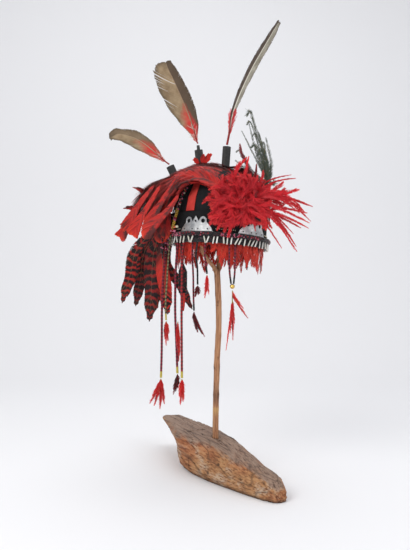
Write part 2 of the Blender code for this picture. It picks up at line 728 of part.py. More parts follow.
def forked_pole(material):
    """The stick with its two prongs, whose ends are shaped to the inside of the cap."""
    path = pole_path()
    trunk = tube("forked_pole", path, [POLE_RADIUS * row.thickness for row in POLE_DRIFTS], 10, material)
    fork = path[-1]
    low = fork - Vector((0, 0, 0.016))
    front = [low, fork + Vector((-0.006, -0.012, 0.004)), fork + Vector((-0.029, -0.052, 0.034)),
             oval_point(-24, -0.008, 0.022), oval_point(-23, 0.006, 0.052)]
    back = [low, fork + Vector((0.004, 0.008, 0.014)), fork + Vector((0.010, 0.016, 0.080)),
            HEAD @ Vector((0.000, 0.012, CAP_HEIGHT * 0.80)), HEAD @ Vector((0.002, 0.010, CAP_HEIGHT * 1.10))]
    prongs = []
    for points, share in ((front, 0.95), (back, 1.05)):
        smooth = smooth_path(points, 9)
        radii = [PRONG_RADIUS * share * (1.12 - 0.30 * i / 8) for i in range(9)]
        prongs.append(tube("prong", smooth, radii, 8, None))
    pole = fuse("forked_pole", [trunk] + prongs)
    return combine(pole, cap_room(), "INTERSECT")


def cap_room():
    """The room inside the cap with the open space under it, for shaping the prongs' ends."""
    count = CAP_SEGMENTS
    inset = CAP_WALL + 3 * CLEARANCE
    rings = []
    for reach, height in ((0.20, -CAP_SEAT_Z), (0.20, -0.070), (0.0, -0.060)):
        rings.append([oval_point(360 * i / count, reach - inset, height) for i in range(count)])
    for rise in (*DOME_RISES, TOP_RISE):
        rings.append([dome_point(360 * i / count, rise, -inset) for i in range(count)])
    return loft("room", rings, None)


def foot_hole(base):
    """The hole that the stick stands in."""
    foot = BASE_HEIGHT - POLE_SINK - CLEARANCE
    radius = POLE_RADIUS * 1.03 + CLEARANCE
    rings = [[Vector((radius * math.cos(a), radius * math.sin(a), z))
              for a in (2 * math.pi * i / 14 for i in range(14))] for z in (foot, BASE_HEIGHT + 0.02)]
    return combine(base, loft("hole", rings, None), "DIFFERENCE")


def lean_direction(lean):
    return Vector((-math.sin(math.radians(lean)), 0.0, math.cos(math.radians(lean))))


def socket_cylinder(upright, radius, low, high):
    """A round body on a tube's axis, between two distances from its mouth, downwards negative."""
    axis = lean_direction(upright.lean)
    path = [upright.mouth + axis * low, upright.mouth + axis * high]
    return tube("round", path, [radius, radius], 12, None)


def upright_feathers(black, tan, dark):
    items = []
    for upright in UPRIGHTS:
        has_spindle = upright.name == "middle"
        socket = socket_cylinder(upright, SOCKET_RADIUS, -SOCKET_LENGTH, 0.0)
        socket.name = f"socket_{upright.name}"
        socket.data.materials.append(black)
        combine(socket, dome_cutter(CLEARANCE), "DIFFERENCE")
        held = SPINDLE_RADIUS if has_spindle else QUILL_RADIUS
        combine(socket, socket_cylinder(upright, held + CLEARANCE, -SOCKET_BORE_DEPTH, 0.01), "DIFFERENCE")
        items.append(socket)
        items.append(upright_feather(upright, has_spindle, tan))
    items.append(spindle(UPRIGHTS[1], dark))
    return items


def spindle(upright, material):
    """The thin black spindle between the middle tube and its feather's quill."""
    top = SPINDLE_LENGTH - SOCKET_BORE_DEPTH + CLEARANCE
    axis = lean_direction(upright.lean)
    ends = (-SOCKET_BORE_DEPTH + CLEARANCE, -0.002, top * 0.6, top)
    path = [upright.mouth + axis * end for end in ends]
    radii = [SPINDLE_RADIUS, SPINDLE_RADIUS, SPINDLE_RADIUS * 0.92, SPINDLE_RADIUS * 0.84]
    body = tube("middle_spindle", path, radii, 8, material)
    bore = socket_cylinder(upright, QUILL_RADIUS + CLEARANCE, top - 0.008, top + 0.01)
    return combine(body, bore, "DIFFERENCE")


def upright_feather(upright, has_spindle, material):
    """Quill and vane as one body: a smooth run through the quill's foot and the vane's points."""
    axis = lean_direction(upright.lean)
    foot = -SOCKET_BORE_DEPTH + CLEARANCE
    clear = 0.004
    if has_spindle:
        foot = SPINDLE_LENGTH - SOCKET_BORE_DEPTH - 0.008 + 2 * CLEARANCE
        clear = SPINDLE_LENGTH - SOCKET_BORE_DEPTH + 0.002
    quill = QUILL_RADIUS * 1.8
    points = [upright.mouth + axis * clear] + [Vector((row.x, row.y, row.z)) for row in upright.vane]
    samples = len(points) + 4
    path = [upright.mouth + axis * foot] + smooth_path(points, samples)
    shares = smooth_path([(width, 0, 0) for width in [quill] + [row.width for row in upright.vane]], samples)
    widths = [quill] + [max(share.x, quill) for share in shares]
    face = Matrix.Rotation(math.radians(upright.turn), 3, "Z") @ Vector((0, -1, 0))
    return vane(f"feather_{upright.name}", path, widths, VANE_THICKNESS, face, 0.03, material)


def strip(path, width, shares, thickness, facing, material=None):
    """One feather lock along a path, its flat side towards a point-by-point facing direction."""
    tangents = path_tangents(path)
    rings = []
    for i, point in enumerate(path):
        side = facing[i].cross(tangents[i]).normalized()
        normal = tangents[i].cross(side).normalized()
        half = width * shares[i] / 2
        rings.append([point - half * side, point + thickness / 2 * normal,
                      point + half * side, point - thickness / 2 * normal])
    return loft("strip", rings, material)


def crown_feathers(material):
    """Long feathers swept from the crown over the left side, fused on one pad."""
    strips = []
    for number in range(CROWN_STRIPS):
        t = number / (CROWN_STRIPS - 1)
        points = []
        for row in CROWN_SWEEP:
            back = Vector((row.back_x, row.back_y, row.back_z))
            front = Vector((row.front_x, row.front_y, row.front_z))
            bulge = Vector((0, 0, 0.010)) * math.sin(math.pi * t)
            points.append(back.lerp(front, t) + bulge)
        path = smooth_path(points, 6)
        centre = Vector((CAP_SEAT_X - 0.03, 0.01, CAP_SEAT_Z + 0.05))
        facing = [(point - centre).normalized() for point in path]
        widths = smooth_path([(row.width, 0, 0) for row in CROWN_SWEEP], 6)
        ripple = Vector((0, 0, 0.0012 * (number % 2)))
        path = [point + ripple for point in path]
        strips.append(strip(path, CROWN_STRIP_WIDTH, [w.x for w in widths], CROWN_THICKNESS, facing, material))
    pad = feather_pad((0.010, -0.022, 0.566), (0.044, 0.030, 0.030))
    body = fuse("crown_feathers", strips + [pad])
    return trim_to_head(body, CROWN_LIFT)


def feather_pad(centre, radii):
    """A round pad that feathers are sewn to."""
    rings = []
    for tilt in (-60, -20, 20, 60):
        a = math.radians(tilt)
        rings.append([Vector((centre[0] + radii[0] * math.cos(a) * math.cos(b),
                              centre[1] + radii[1] * math.cos(a) * math.sin(b),
                              centre[2] + radii[2] * math.sin(a)))
                      for b in (2 * math.pi * i / 10 for i in range(10))])
    return loft("pad", rings, None)


def trim_to_head(body, lift):
    """Cuts a feather mass clear of the cap and of the three tubes."""
    combine(body, dome_cutter(lift), "DIFFERENCE", "MANIFOLD")
    combine(body, band_cutter(), "DIFFERENCE", "MANIFOLD")
    for upright in UPRIGHTS:
        room = socket_cylinder(upright, SOCKET_RADIUS + CLEARANCE, -SOCKET_LENGTH * 1.4, 0.03)
        combine(body, room, "DIFFERENCE", "MANIFOLD")
    return drop_crumbs(body)


def back_feathers(material):
    """Dark feathers laid from the crown down the back of the cap."""
    strips = []
    for number in range(BACK_STRIPS):
        angle = 98 + 164 * number / (BACK_STRIPS - 1)
        low = 12 + (number % 3) * 5
        rises = (84, 66, 48, 30, low)
        lifts = (0.012, 0.016, 0.013, 0.009, 0.006)
        path = [dome_point(angle, rise, lift) for rise, lift in zip(rises, lifts)]
        path.append(oval_point(angle, 0.0065, BAND_HEIGHT + 0.002))
        centre = HEAD @ Vector((0, 0, 0.02))
        facing = [(point - centre).normalized() for point in path]
        shares = (0.55, 0.8, 1.0, 1.05, 0.95, 0.4)
        strips.append(strip(path, 0.036, shares, BACK_THICKNESS + 0.001 * (number % 2), facing, material))
    top = HEAD @ Vector((0.004, 0.030, CAP_HEIGHT + 0.002))
    pad = feather_pad(tuple(top), (0.034, 0.030, 0.016))
    body = fuse("back_feathers", strips + [pad])
    trim_to_head(body, FEATHER_LIFT)
    low, high = -0.3, BACK_FRONT_LIMIT
    front = [[Vector((x, y, z)) for x, y in ((-0.3, low), (0.3, low), (0.3, high), (-0.3, high))]
             for z in (0.3, 0.7)]
    return combine(body, loft("front", front, None), "DIFFERENCE", "MANIFOLD")


def rosette_centre():
    return oval_point(23.0, 0.0065, 0.066)


def rosette(material):
    """A burst of hackles in three layers, from a button on the right of the front."""
    centre = rosette_centre()
    items = [feather_pad(tuple(centre), (ROSETTE_BUTTON, ROSETTE_BUTTON * 0.7, ROSETTE_BUTTON))]
    for number, hackle in enumerate(HACKLES):
        turn = math.radians(hackle.direction)
        out = Vector((math.cos(turn), 0.0, math.sin(turn)))
        layer = Vector((0, -0.0042 * (number % 3) - 0.008 * max(0.0, -out.z), 0))
        fall = Vector((0, 0, -hackle.droop))
        path = []
        for share, bow in ((0.08, 0.0), (0.42, 0.009), (0.75, 0.010), (1.0, 0.006)):
            path.append(centre + layer + out * hackle.length * share + fall * share * share - Vector((0, bow, 0)))
        roll = 0.35 * math.sin(2.3 * number)
        face = (Vector((0, -1, 0)) + roll * out.cross(Vector((0, 1, 0)))).normalized()
        items.append(strip(path, 0.016, (0.5, 1.0, 0.75, 0.16), ROSETTE_THICKNESS, [face] * 4, None))
    body = fuse("rosette", items)
    combine(body, dome_cutter(FEATHER_LIFT), "DIFFERENCE", "MANIFOLD")
    combine(body, band_cutter(), "DIFFERENCE", "MANIFOLD")
    body.data.materials.clear()
    body.data.materials.append(material)
    return drop_crumbs(body)


def herl_plume(material):
    """Thin green-black herls from one short stem at the right of the cap."""
    root = dome_point(84, 34, -CAP_WALL)
    stem_top = root + Vector((0.012, -0.002, 0.022))
    stem = tube("herl_plume", [root, stem_top], [0.0026, 0.0020], 6, material)
    items = [stem]
    for tip in HERL_TIPS:
        end = root + Vector((tip.x, tip.y, tip.z))
        bend = root.lerp(end, 0.45) + Vector((0.010 if tip.x > -0.02 else 0.004, 0.0, 0.006))
        path = smooth_path([root + Vector((0.002, 0, 0.006)), stem_top, bend, end], 4)
        radii = [HERL_RADIUS * r for r in (1.0, 1.1, 1.0, 0.5)]
        items.append(tube("herl", path, radii, 4, None))
    body = fuse("herl_plume", items)
    return combine(body, dome_cutter(FEATHER_LIFT), "DIFFERENCE")


def dark_feather(material):
    """The small dark red feather that leans over beside the plume."""
    root = dome_point(72, 52, -CAP_WALL)
    path = smooth_path([root, root + Vector((-0.004, -0.004, 0.022)), root + Vector((-0.018, -0.006, 0.052)),
                        Vector((0.046, -0.008, 0.624))], 7)
    body = vane("dark_feather", path, (0.003, 0.005, 0.009, 0.010, 0.009, 0.007, 0.003),
                BARRED_THICKNESS, Vector((0, -1, 0)), 0.04, material)
    return combine(body, dome_cutter(FEATHER_LIFT), "DIFFERENCE")


def barred_feathers(material):
    """Six feathers that hang from the band on the left, with barred vanes."""
    items = []
    for number, row in enumerate(BARRED):
        root = oval_point(row.angle, BAND_WALL + 2 * CLEARANCE, BAND_HEIGHT - 0.004)
        out = (oval_point(row.angle, 0.02, BAND_HEIGHT - 0.004) - root).normalized()
        points = [root, root + out * 0.012 + Vector((0, 0, -0.004)), row.knee,
                  row.knee.lerp(row.tip, 0.5), row.tip]
        path = smooth_path(points, 9)
        shares = (0.10, 0.10, 0.16, 0.62, 0.90, 1.0, 1.0, 0.88, 0.16)
        widths = [max(row.width * share, QUILL_RADIUS * 1.6) for share in shares]
        items.append(vane(f"barred_feather_{number + 1}", path, widths, BARRED_THICKNESS,
                          Vector((0, -1, 0)), 0.03, material))
    return items


def bead(name, centre, radius, material, sides):
    rings = []
    for tilt in (-66, -30, 0, 30, 66):
        a = math.radians(tilt)
        rings.append([centre + radius * Vector((math.cos(a) * math.cos(b), math.cos(a) * math.sin(b), math.sin(a)))
                      for b in (2 * math.pi * i / sides for i in range(sides))])
    return loft(name, rings, material)


def bead_run(name, path, radius, beads, material, sides=10):
    """Round beads threaded close together along a path, as one body."""
    fine = smooth_path(path, beads * 2 + 1)
    radii = [radius * (0.42 if i % 2 == 0 else 1.0) for i in range(len(fine))]
    return tube(name, fine, radii, sides, material)


def bead_cascade(material):
    """Two strings of beads that hang side by side down the left of the band, fused into one body."""
    outward = roll_face() + CLEARANCE + BEAD_RADIUS
    runs = []
    for angle, high, low, beads in ((-76.3, 0.034, -0.010, 5), (-73.5, 0.030, -0.020, 6)):
        heights = [high + (low - high) * i / 3 for i in range(4)]
        path = [oval_point(angle, outward, height) for height in heights]
        runs.append(bead_run("bead_cascade", path, BEAD_RADIUS * 1.1, beads, material))
    return fuse("bead_cascade", runs)


def bead_string(material):
    """One string of larger beads that hangs down the cap at the left of the arch."""
    lift = BEAD_RADIUS + CLEARANCE
    path = [dome_point(-54, 44, lift), dome_point(-58, 26, lift), dome_point(-60, 8, lift + BAND_WALL),
            oval_point(-61, edge_outward() + BEAD_RADIUS, BAND_HEIGHT - 0.010),
            oval_point(-61.5, roll_face() + CLEARANCE + BEAD_RADIUS, 0.016)]
    return bead_run("bead_string", path, BEAD_RADIUS, 8, material)


def beaded_tab(material, ribbon):
    """The woven bead tab that hangs from the band, and the ribbon under it."""
    top = strand_start(TAB_ANGLE)
    low = Vector((TAB_X, TAB_Y, TAB_FOOT))
    tall = top.z - low.z
    rings = []
    for share, width in ((0.0, 0.22), (0.45, 0.30), (0.62, 1.0), (0.82, 1.0), (1.0, 0.96)):
        middle = Vector((top.x + (low.x - top.x) * min(share * 1.6, 1.0), top.y + (low.y - top.y) * share,
                         top.z - tall * share))
        half = TAB_WIDTH / 2 * width
        rings.append([middle + Vector((-half, 0, 0)), middle + Vector((0, -TAB_THICKNESS / 2, 0)),
                      middle + Vector((half, 0, 0)), middle + Vector((0, TAB_THICKNESS / 2, 0))])
    tab = loft("beaded_tab", rings, material)
    ends = []
    for drop, share in ((CLEARANCE, 1.0), (0.012, 1.1), (0.024, 0.9), (0.033, 0.5)):
        half = RIBBON_WIDTH / 2 * share
        thick = RIBBON_THICKNESS / 2
        ends.append([low + Vector((x, y, -drop))
                     for x, y in ((-half, -thick), (half, -thick), (half, thick), (-half, thick))])
    return [tab, loft("tab_ribbon", ends, ribbon)]


def strand_start(angle, outside=False, diameter=0.0):
    """Where a strand leaves the band: under its lower edge, or outside the beaded roll."""
    if outside:
        outward = roll_face() + CLEARANCE + diameter / 2
        return oval_point(angle, outward, PLATE_FOOT - EDGE_ROLL_RADIUS * 1.5)
    return oval_point(angle, CLEARANCE + BAND_WALL / 2, -2 * CLEARANCE)


def strand_end(name):
    """The lower end of a strand's route."""
    return Vector(next(row.route[-1] for row in STRANDS if row.name == name))


def strand(row, material):
    """A free strand as a round tube along a smooth curve."""
    route = [strand_start(row.angle, row.outside, row.diameter)] + [Vector(p) for p in row.route]
    length = sum((b - a).length for a, b in zip(route, route[1:]))
    samples = max(round(length / (row.diameter * 3.0)), 4) + 1
    curve = bpy.data.curves.new(row.name, "CURVE")
    curve.dimensions = "3D"
    curve.bevel_depth = row.diameter / 2
    curve.bevel_resolution = 2
    curve.use_fill_caps = True
    spline = curve.splines.new("POLY")
    path = smooth_path(route, samples)
    spline.points.add(len(path) - 1)
    for point, place in zip(spline.points, path):
        point.co = (*place, 1.0)
    curve.materials.append(material)
    item = bpy.data.objects.new(row.name, curve)
    bpy.context.scene.collection.objects.link(item)
    return item


def tassel_body(name, top, locks, length, spread, lean, material):
    """A wrapped head with locks of thin feather that spread below it, fused into one body."""
    head_length = 0.010
    head = tube(name, [top, top - Vector((0, 0, head_length))], [TASSEL_HEAD * 0.85, TASSEL_HEAD], 6, material)
    items = [head]
    for i in range(locks):
        share = (i / (locks - 1) - 0.5) * 2
        depth = 0.6 * spread * math.sin(2.4 * i + 0.6)
        reach = length * (1.0 - 0.12 * ((i * 2) % 3))
        end = top + Vector((share * spread + lean, depth, -reach))
        start = top + Vector((share * TASSEL_HEAD * 0.4, 0.0004 * (i % 2), -head_length * 0.6))
        items.append(tube("lock", [start, end], [TASSEL_LOCK, TASSEL_LOCK * 0.5], 4, None))
    return fuse(name, items)


def tassels(materials):
    items = []
    for row in TASSELS:
        end = strand_end(row.strand)
        top = end - Vector((0, 0, CLEARANCE * 2))
        items.append(tassel_body(row.name, top, row.locks, row.length, row.spread, row.lean, materials[row.colour]))
    items.append(tassel_body("tuft_centre", TUFT_TOP, 4, TUFT_LENGTH, 0.004, 0.0, materials["scarlet"]))
    return items


def bell(brass, scarlet):
    """The small round bell where two strands meet, and the two tufts tied under it."""
    left = strand_end("strand_bell_left")
    right = strand_end("strand_bell_right")
    centre = (left + right) / 2 - Vector((0, 0, BELL_RADIUS + CLEARANCE))
    ball = bead("bell", centre, BELL_RADIUS * 1.06, brass, 12)
    top = centre - Vector((0, 0, BELL_RADIUS + CLEARANCE))
    head = tube("tassel_bell", [top, top - Vector((0, 0, 0.006))], [0.0022, 0.0020], 8, scarlet)
    items = [head]
    for i, reach in enumerate(BELL_LOCKS):
        start = top - Vector((0, 0, 0.003 + 0.0005 * i))
        middle = start.lerp(top + reach, 0.5)
        items.append(tube("lock", [start, middle, top + reach], [0.0012, TASSEL_LOCK * 0.9, 0.0007], 5, None))
    return [ball, fuse("tassel_bell", items)]


def build():
    clear_scene()
    driftwood = make_material("driftwood", (0.33, 0.19, 0.11), 0.75)
    stick = make_material("stick", (0.42, 0.24, 0.13), 0.7)
    felt = make_material("black_cloth", (0.012, 0.012, 0.014), 0.9)
    scarlet_cloth = make_material("red_cloth", (0.62, 0.05, 0.04), 0.8)
    silver = make_material("silver", (0.75, 0.75, 0.76), 0.3, 1.0)
    bone = make_material("bone", (0.80, 0.78, 0.70), 0.4)
    beads = make_material("beads", (0.16, 0.01, 0.02), 0.25)
    scarlet = make_material("scarlet_feather", (0.66, 0.02, 0.02), 0.7)
    crimson = make_material("crimson_feather", (0.40, 0.02, 0.02), 0.7)
    barred = make_material("barred_feather", (0.30, 0.02, 0.015), 0.7)
    tan = make_material("tan_feather", (0.36, 0.27, 0.17), 0.7)
    black = make_material("black_tube", (0.015, 0.016, 0.016), 0.5)
    herl = make_material("green_herl", (0.04, 0.06, 0.035), 0.5)
    braid = make_material("braid", (0.12, 0.01, 0.015), 0.8)
    brass = make_material("bell_brass", (0.70, 0.50, 0.14), 0.3, 1.0)

    foot_hole(driftwood_base(driftwood))
    forked_pole(stick)
    cap_shell(felt)
    headband(felt)
    cap_strips(scarlet_cloth)
    silver_plates(silver)
    beaded_edge(beads)
    bone_tube_row(bone)
    feather_fringe(scarlet)
    upright_feathers(black, tan, black)
    crown_feathers(crimson)
    back_feathers(crimson)
    rosette(scarlet)
    herl_plume(herl)
    dark_feather(barred)
    barred_feathers(barred)
    bead_cascade(beads)
    bead_string(beads)
    beaded_tab(beads, scarlet_cloth)
    for row in STRANDS:
        strand(row, braid)
    tassels({"scarlet": scarlet, "wine": barred})
    bell(brass, scarlet)


build()
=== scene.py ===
import math
import random

import bmesh
import bpy
from mathutils import Matrix, Vector, noise


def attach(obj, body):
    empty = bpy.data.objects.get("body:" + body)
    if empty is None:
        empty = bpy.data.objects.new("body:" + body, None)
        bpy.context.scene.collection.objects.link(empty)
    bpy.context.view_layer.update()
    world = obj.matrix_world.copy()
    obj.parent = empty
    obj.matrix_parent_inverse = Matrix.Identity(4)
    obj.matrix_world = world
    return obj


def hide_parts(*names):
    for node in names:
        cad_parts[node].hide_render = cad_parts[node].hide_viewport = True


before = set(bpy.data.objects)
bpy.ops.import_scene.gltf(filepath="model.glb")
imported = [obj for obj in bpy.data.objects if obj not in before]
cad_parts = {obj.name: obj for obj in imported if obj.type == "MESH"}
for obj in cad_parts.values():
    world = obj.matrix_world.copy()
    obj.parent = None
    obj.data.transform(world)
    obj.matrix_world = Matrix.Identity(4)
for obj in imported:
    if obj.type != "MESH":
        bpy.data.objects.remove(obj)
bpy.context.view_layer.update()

print("frame loaded,", len(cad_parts), "nodes")


# camera and studio
camera = {"place": (-0.020, -1.2, 0.377), "focalPixels": 631.4, "framePixels": 550, "sensor": 36.0}


def makeCamera():
    data = bpy.data.cameras.new("camera")
    data.sensor_fit = "VERTICAL"
    data.sensor_height = camera["sensor"]
    data.lens = camera["focalPixels"] / camera["framePixels"] * camera["sensor"]
    item = bpy.data.objects.new("camera", data)
    item.location = camera["place"]
    item.rotation_euler = (math.radians(90), 0, 0)
    bpy.context.scene.collection.objects.link(item)
    bpy.context.scene.camera = item


def areaLight(name, place, target, size, power, colour):
    data = bpy.data.lights.new(name, "AREA")
    data.shape = "RECTANGLE"
    data.size, data.size_y = size
    data.energy = power
    data.color = colour
    item = bpy.data.objects.new(name, data)
    item.location = place
    item.rotation_euler = (Vector(target) - Vector(place)).to_track_quat("-Z", "Y").to_euler()
    bpy.context.scene.collection.objects.link(item)


studio = {
    "wall": 1.9,        # distance of the backdrop behind the object
    "bend": 0.9,        # radius of the sweep from floor to wall
    "half": 4.0,        # reach of the floor and the wall
    "floorColour": (0.86, 0.86, 0.875),
    "worldColour": (0.80, 0.81, 0.84),
    "worldPower": 0.62,
    "lights": (  # name, place, target, size, power, colour
        ("key", (-1.3, -1.5, 1.9), (0.0, 0.0, 0.4), (1.3, 1.3), 30, (1.0, 0.99, 0.97)),
        ("fill", (1.6, -1.2, 1.2), (0.0, 0.0, 0.4), (1.5, 1.5), 12, (0.97, 0.98, 1.0)),
        ("top", (0.1, 0.3, 2.3), (0.0, 0.1, 0.0), (1.6, 1.2), 14, (1.0, 1.0, 1.0))),
}


def makeStudio():
    profile = [(-studio["half"], 0.0)]
    steps = 14
    for i in range(steps + 1):
        turn = math.pi / 2 * i / steps
        profile.append((studio["wall"] - studio["bend"] + studio["bend"] * math.sin(turn),
                        studio["bend"] * (1 - math.cos(turn))))
    profile.append((studio["wall"], studio["half"]))
    verts = [(x, y, z) for y, z in profile for x in (-studio["half"], studio["half"])]
    faces = [(2 * i, 2 * i + 1, 2 * i + 3, 2 * i + 2) for i in range(len(profile) - 1)]
    mesh = bpy.data.meshes.new("backdrop")
    mesh.from_pydata(verts, [], faces)
    mesh.shade_smooth()
    item = bpy.data.objects.new("backdrop", mesh)
    bpy.context.scene.collection.objects.link(item)
    material = bpy.data.materials.new("backdrop_paper")
    material.use_nodes = True
    shader = material.node_tree.nodes["Principled BSDF"]
    shader.inputs["Base Color"].default_value = (*studio["floorColour"], 1)
    shader.inputs["Roughness"].default_value = 0.9
    mesh.materials.append(material)
    world = bpy.data.worlds.new("studio_air")
    bpy.context.scene.world = world
    world.use_nodes = True
    air = world.node_tree.nodes["Background"]
    air.inputs["Color"].default_value = (*studio["worldColour"], 1)
    air.inputs["Strength"].default_value = studio["worldPower"]
    for row in studio["lights"]:
        areaLight(*row)


makeCamera()
makeStudio()
bpy.context.scene.view_settings.view_transform = "Standard"
print("camera and studio made")


# shared helpers: places on the head, smooth paths, meshes, materials

head = {
    "halfWidth": 0.0857, "halfDepth": 0.0972, "height": 0.138, "shoulder": 0.045,
    "seatX": 0.007, "seatZ": 0.4365, "roll": 4.0, "pitch": -2.0, "power": 2.2,
    "bandWall": 0.0025, "gap": 0.0003,
}
front = Vector((0, -1, 0))
fullTurn = 6.28  # radians, as rounded in every wave below
headTurn = (Matrix.Translation((head["seatX"], 0, head["seatZ"]))
            @ Matrix.Rotation(math.radians(head["roll"]), 4, "Y")
            @ Matrix.Rotation(math.radians(head["pitch"]), 4, "X"))


def ovalPoint(angle, outward, height, share=1.0):
    turn = math.radians(angle)
    return headTurn @ Vector(((head["halfWidth"] * share + outward) * math.sin(turn),
                              -(head["halfDepth"] * share + outward) * math.cos(turn), height))


def domePoint(angle, rise, lift):
    tilt = math.radians(rise)
    power = 2 / head["power"]
    height = head["shoulder"] + (head["height"] - head["shoulder"]) * math.sin(tilt) ** power
    return ovalPoint(angle, lift * math.cos(tilt), height + lift * math.sin(tilt), math.cos(tilt) ** power)


def smoothPath(points, samples):
    knots = [Vector(p) for p in points]
    knots = [2 * knots[0] - knots[1]] + knots + [2 * knots[-1] - knots[-2]]
    spans = len(knots) - 3
    path = []
    for i in range(samples):
        place = i / (samples - 1) * spans
        span = min(int(place), spans - 1)
        t = place - span
        a, b, c, d = knots[span:span + 4]
        path.append(0.5 * ((2 * b) + (c - a) * t + (2 * a - 5 * b + 4 * c - d) * t * t
                           + (3 * b - a - 3 * c + d) * t ** 3))
    return path


def pathAt(path, share):
    place = min(max(share, 0.0), 1.0) * (len(path) - 1)
    low = min(int(place), len(path) - 2)
    return path[low].lerp(path[low + 1], place - low)


def pathHeading(path, share):
    step = 0.5 / (len(path) - 1)
    return (pathAt(path, share + step) - pathAt(path, share - step)).normalized()


def pathLength(path):
    return sum((b - a).length for a, b in zip(path, path[1:]))


def turns(count):
    return [2 * math.pi * k / count for k in range(count)]


def curveShare(table, share):
    for (x0, y0), (x1, y1) in zip(table, table[1:]):
        if share <= x1:
            t = (share - x0) / (x1 - x0)
            t = t * t * (3 - 2 * t)
            return y0 + (y1 - y0) * t
    return table[-1][1]


def meshObject(name, verts, faces, material=None, smooth=True):
    mesh = bpy.data.meshes.new(name)
    mesh.from_pydata([tuple(v) for v in verts], [], faces)
    mesh.validate()
    if smooth:
        mesh.shade_smooth()
    if material:
        mesh.materials.append(material)
    item = bpy.data.objects.new(name, mesh)
    bpy.context.scene.collection.objects.link(item)
    return item


class NodeKit:  # a short way to add nodes to a tree and to link them
    def __init__(self, tree):
        self.nodes, self.links = tree.nodes, tree.links

    def add(self, kind, inputs=None, **settings):
        node = self.nodes.new(kind)
        for key, value in settings.items():
            setattr(node, key, value)
        for key, value in (inputs or {}).items():
            self.feed(node.inputs[key], value)
        return node

    def feed(self, socket, value):
        if isinstance(value, bpy.types.Node):
            value = value.outputs[0]
        if isinstance(value, bpy.types.NodeSocket):
            self.links.new(value, socket)
        else:
            socket.default_value = value

    def math(self, operation, a, b=0.0, clamp=False):
        node = self.add("ShaderNodeMath", {0: a, 1: b}, operation=operation, use_clamp=clamp)
        return node.outputs[0]

    def times(self, a, b, clamp=False):
        return self.math("MULTIPLY", a, b, clamp)

    def plus(self, a, b):
        return self.math("ADD", a, b)


class Shader(NodeKit):  # a material and its Principled surface
    def __init__(self, name):
        self.material = bpy.data.materials.new(name)
        self.material.use_nodes = True
        super().__init__(self.material.node_tree)
        self.surface = self.nodes["Principled BSDF"]

    def attribute(self, name):
        return self.add("ShaderNodeAttribute", attribute_name=name).outputs["Fac"]

    def attributes(self, *names):
        return [self.attribute(name) for name in names]

    def objectPoint(self, scale=(1, 1, 1), turn=(0, 0, 0)):
        place = self.add("ShaderNodeTexCoord")
        mapping = self.add("ShaderNodeMapping", {"Vector": place.outputs["Object"], "Scale": scale,
                                                 "Rotation": turn})
        return mapping.outputs["Vector"]

    def noise(self, vector, scale, detail=3.0, roughness=0.55, distortion=0.0):
        node = self.add("ShaderNodeTexNoise", {"Vector": vector, "Scale": scale, "Detail": detail,
                                               "Roughness": roughness, "Distortion": distortion})
        return node.outputs["Fac"]

    def span(self, value, low, high, toLow=0.0, toHigh=1.0):
        node = self.add("ShaderNodeMapRange", {"Value": value, "From Min": low, "From Max": high,
                                               "To Min": toLow, "To Max": toHigh})
        return node.outputs["Result"]

    def ramp(self, value, stops):
        node = self.add("ShaderNodeValToRGB", {"Fac": value})
        ramp = node.color_ramp
        ramp.elements[0].position = stops[0][0]
        ramp.elements[0].color = (*stops[0][1], 1)
        ramp.elements[1].position = stops[-1][0]
        ramp.elements[1].color = (*stops[-1][1], 1)
        for place, colour in stops[1:-1]:
            ramp.elements.new(place).color = (*colour, 1)
        return node.outputs["Color"]

    def mix(self, share, a, b, blend="MIX"):
        node = self.add("ShaderNodeMix", data_type="RGBA", blend_type=blend)
        self.feed(node.inputs["Factor"], share)
        self.feed(node.inputs["A"], (*a, 1) if isinstance(a, tuple) else a)
        self.feed(node.inputs["B"], (*b, 1) if isinstance(b, tuple) else b)
        return node.outputs["Result"]

    def bump(self, height, strength, distance):
        node = self.add("ShaderNodeBump", {"Height": height, "Strength": strength, "Distance": distance})
        self.feed(self.surface.inputs["Normal"], node.outputs["Normal"])

    def set(self, **values):
        for key, value in values.items():
            self.feed(self.surface.inputs[key.replace("_", " ")], value)
        return self.material


class Tree(NodeKit):  # a tree of Geometry Nodes that ends in Realize Instances and Set Material
    def __init__(self, name, sockets):
        self.tree = bpy.data.node_groups.new(name, "GeometryNodeTree")
        super().__init__(self.tree)
        for key, kind, value in (("Geometry", "Geometry", None), *sockets, ("Material", "Material", None)):
            socket = self.tree.interface.new_socket(name=key, in_out="INPUT", socket_type="NodeSocket" + kind)
            if value is not None:
                socket.default_value = value
        self.tree.interface.new_socket(name="Geometry", in_out="OUTPUT", socket_type="NodeSocketGeometry")
        self.given = self.add("NodeGroupInput").outputs

    def named(self, name, kind="FLOAT"):
        return self.add("GeometryNodeInputNamedAttribute", {"Name": name}, data_type=kind).outputs["Attribute"]

    def stored(self, name, value, geometry):
        return self.add("GeometryNodeStoreNamedAttribute", {"Name": name, "Value": value, "Geometry": geometry},
                        data_type="FLOAT", domain="POINT")

    def split(self, mark):
        return self.add("GeometryNodeSeparateGeometry", {"Geometry": self.given["Geometry"],
                                                         "Selection": self.named(mark, "BOOLEAN")}).outputs

    def finished(self, *pieces):
        both = self.add("GeometryNodeJoinGeometry")
        for piece in pieces:
            self.feed(both.inputs[0], piece)
        real = self.add("GeometryNodeRealizeInstances", {"Geometry": both})
        paint = self.add("GeometryNodeSetMaterial", {"Geometry": real, "Material": self.given["Material"]})
        self.add("NodeGroupOutput", {"Geometry": paint})
        return self.tree


rowKinds = {"isBarb": "BOOLEAN", "isBead": "BOOLEAN", "aim": "FLOAT_VECTOR", "facing": "FLOAT_VECTOR",
            "size": "FLOAT_VECTOR", "bend": "FLOAT_VECTOR"}  # every other row is FLOAT


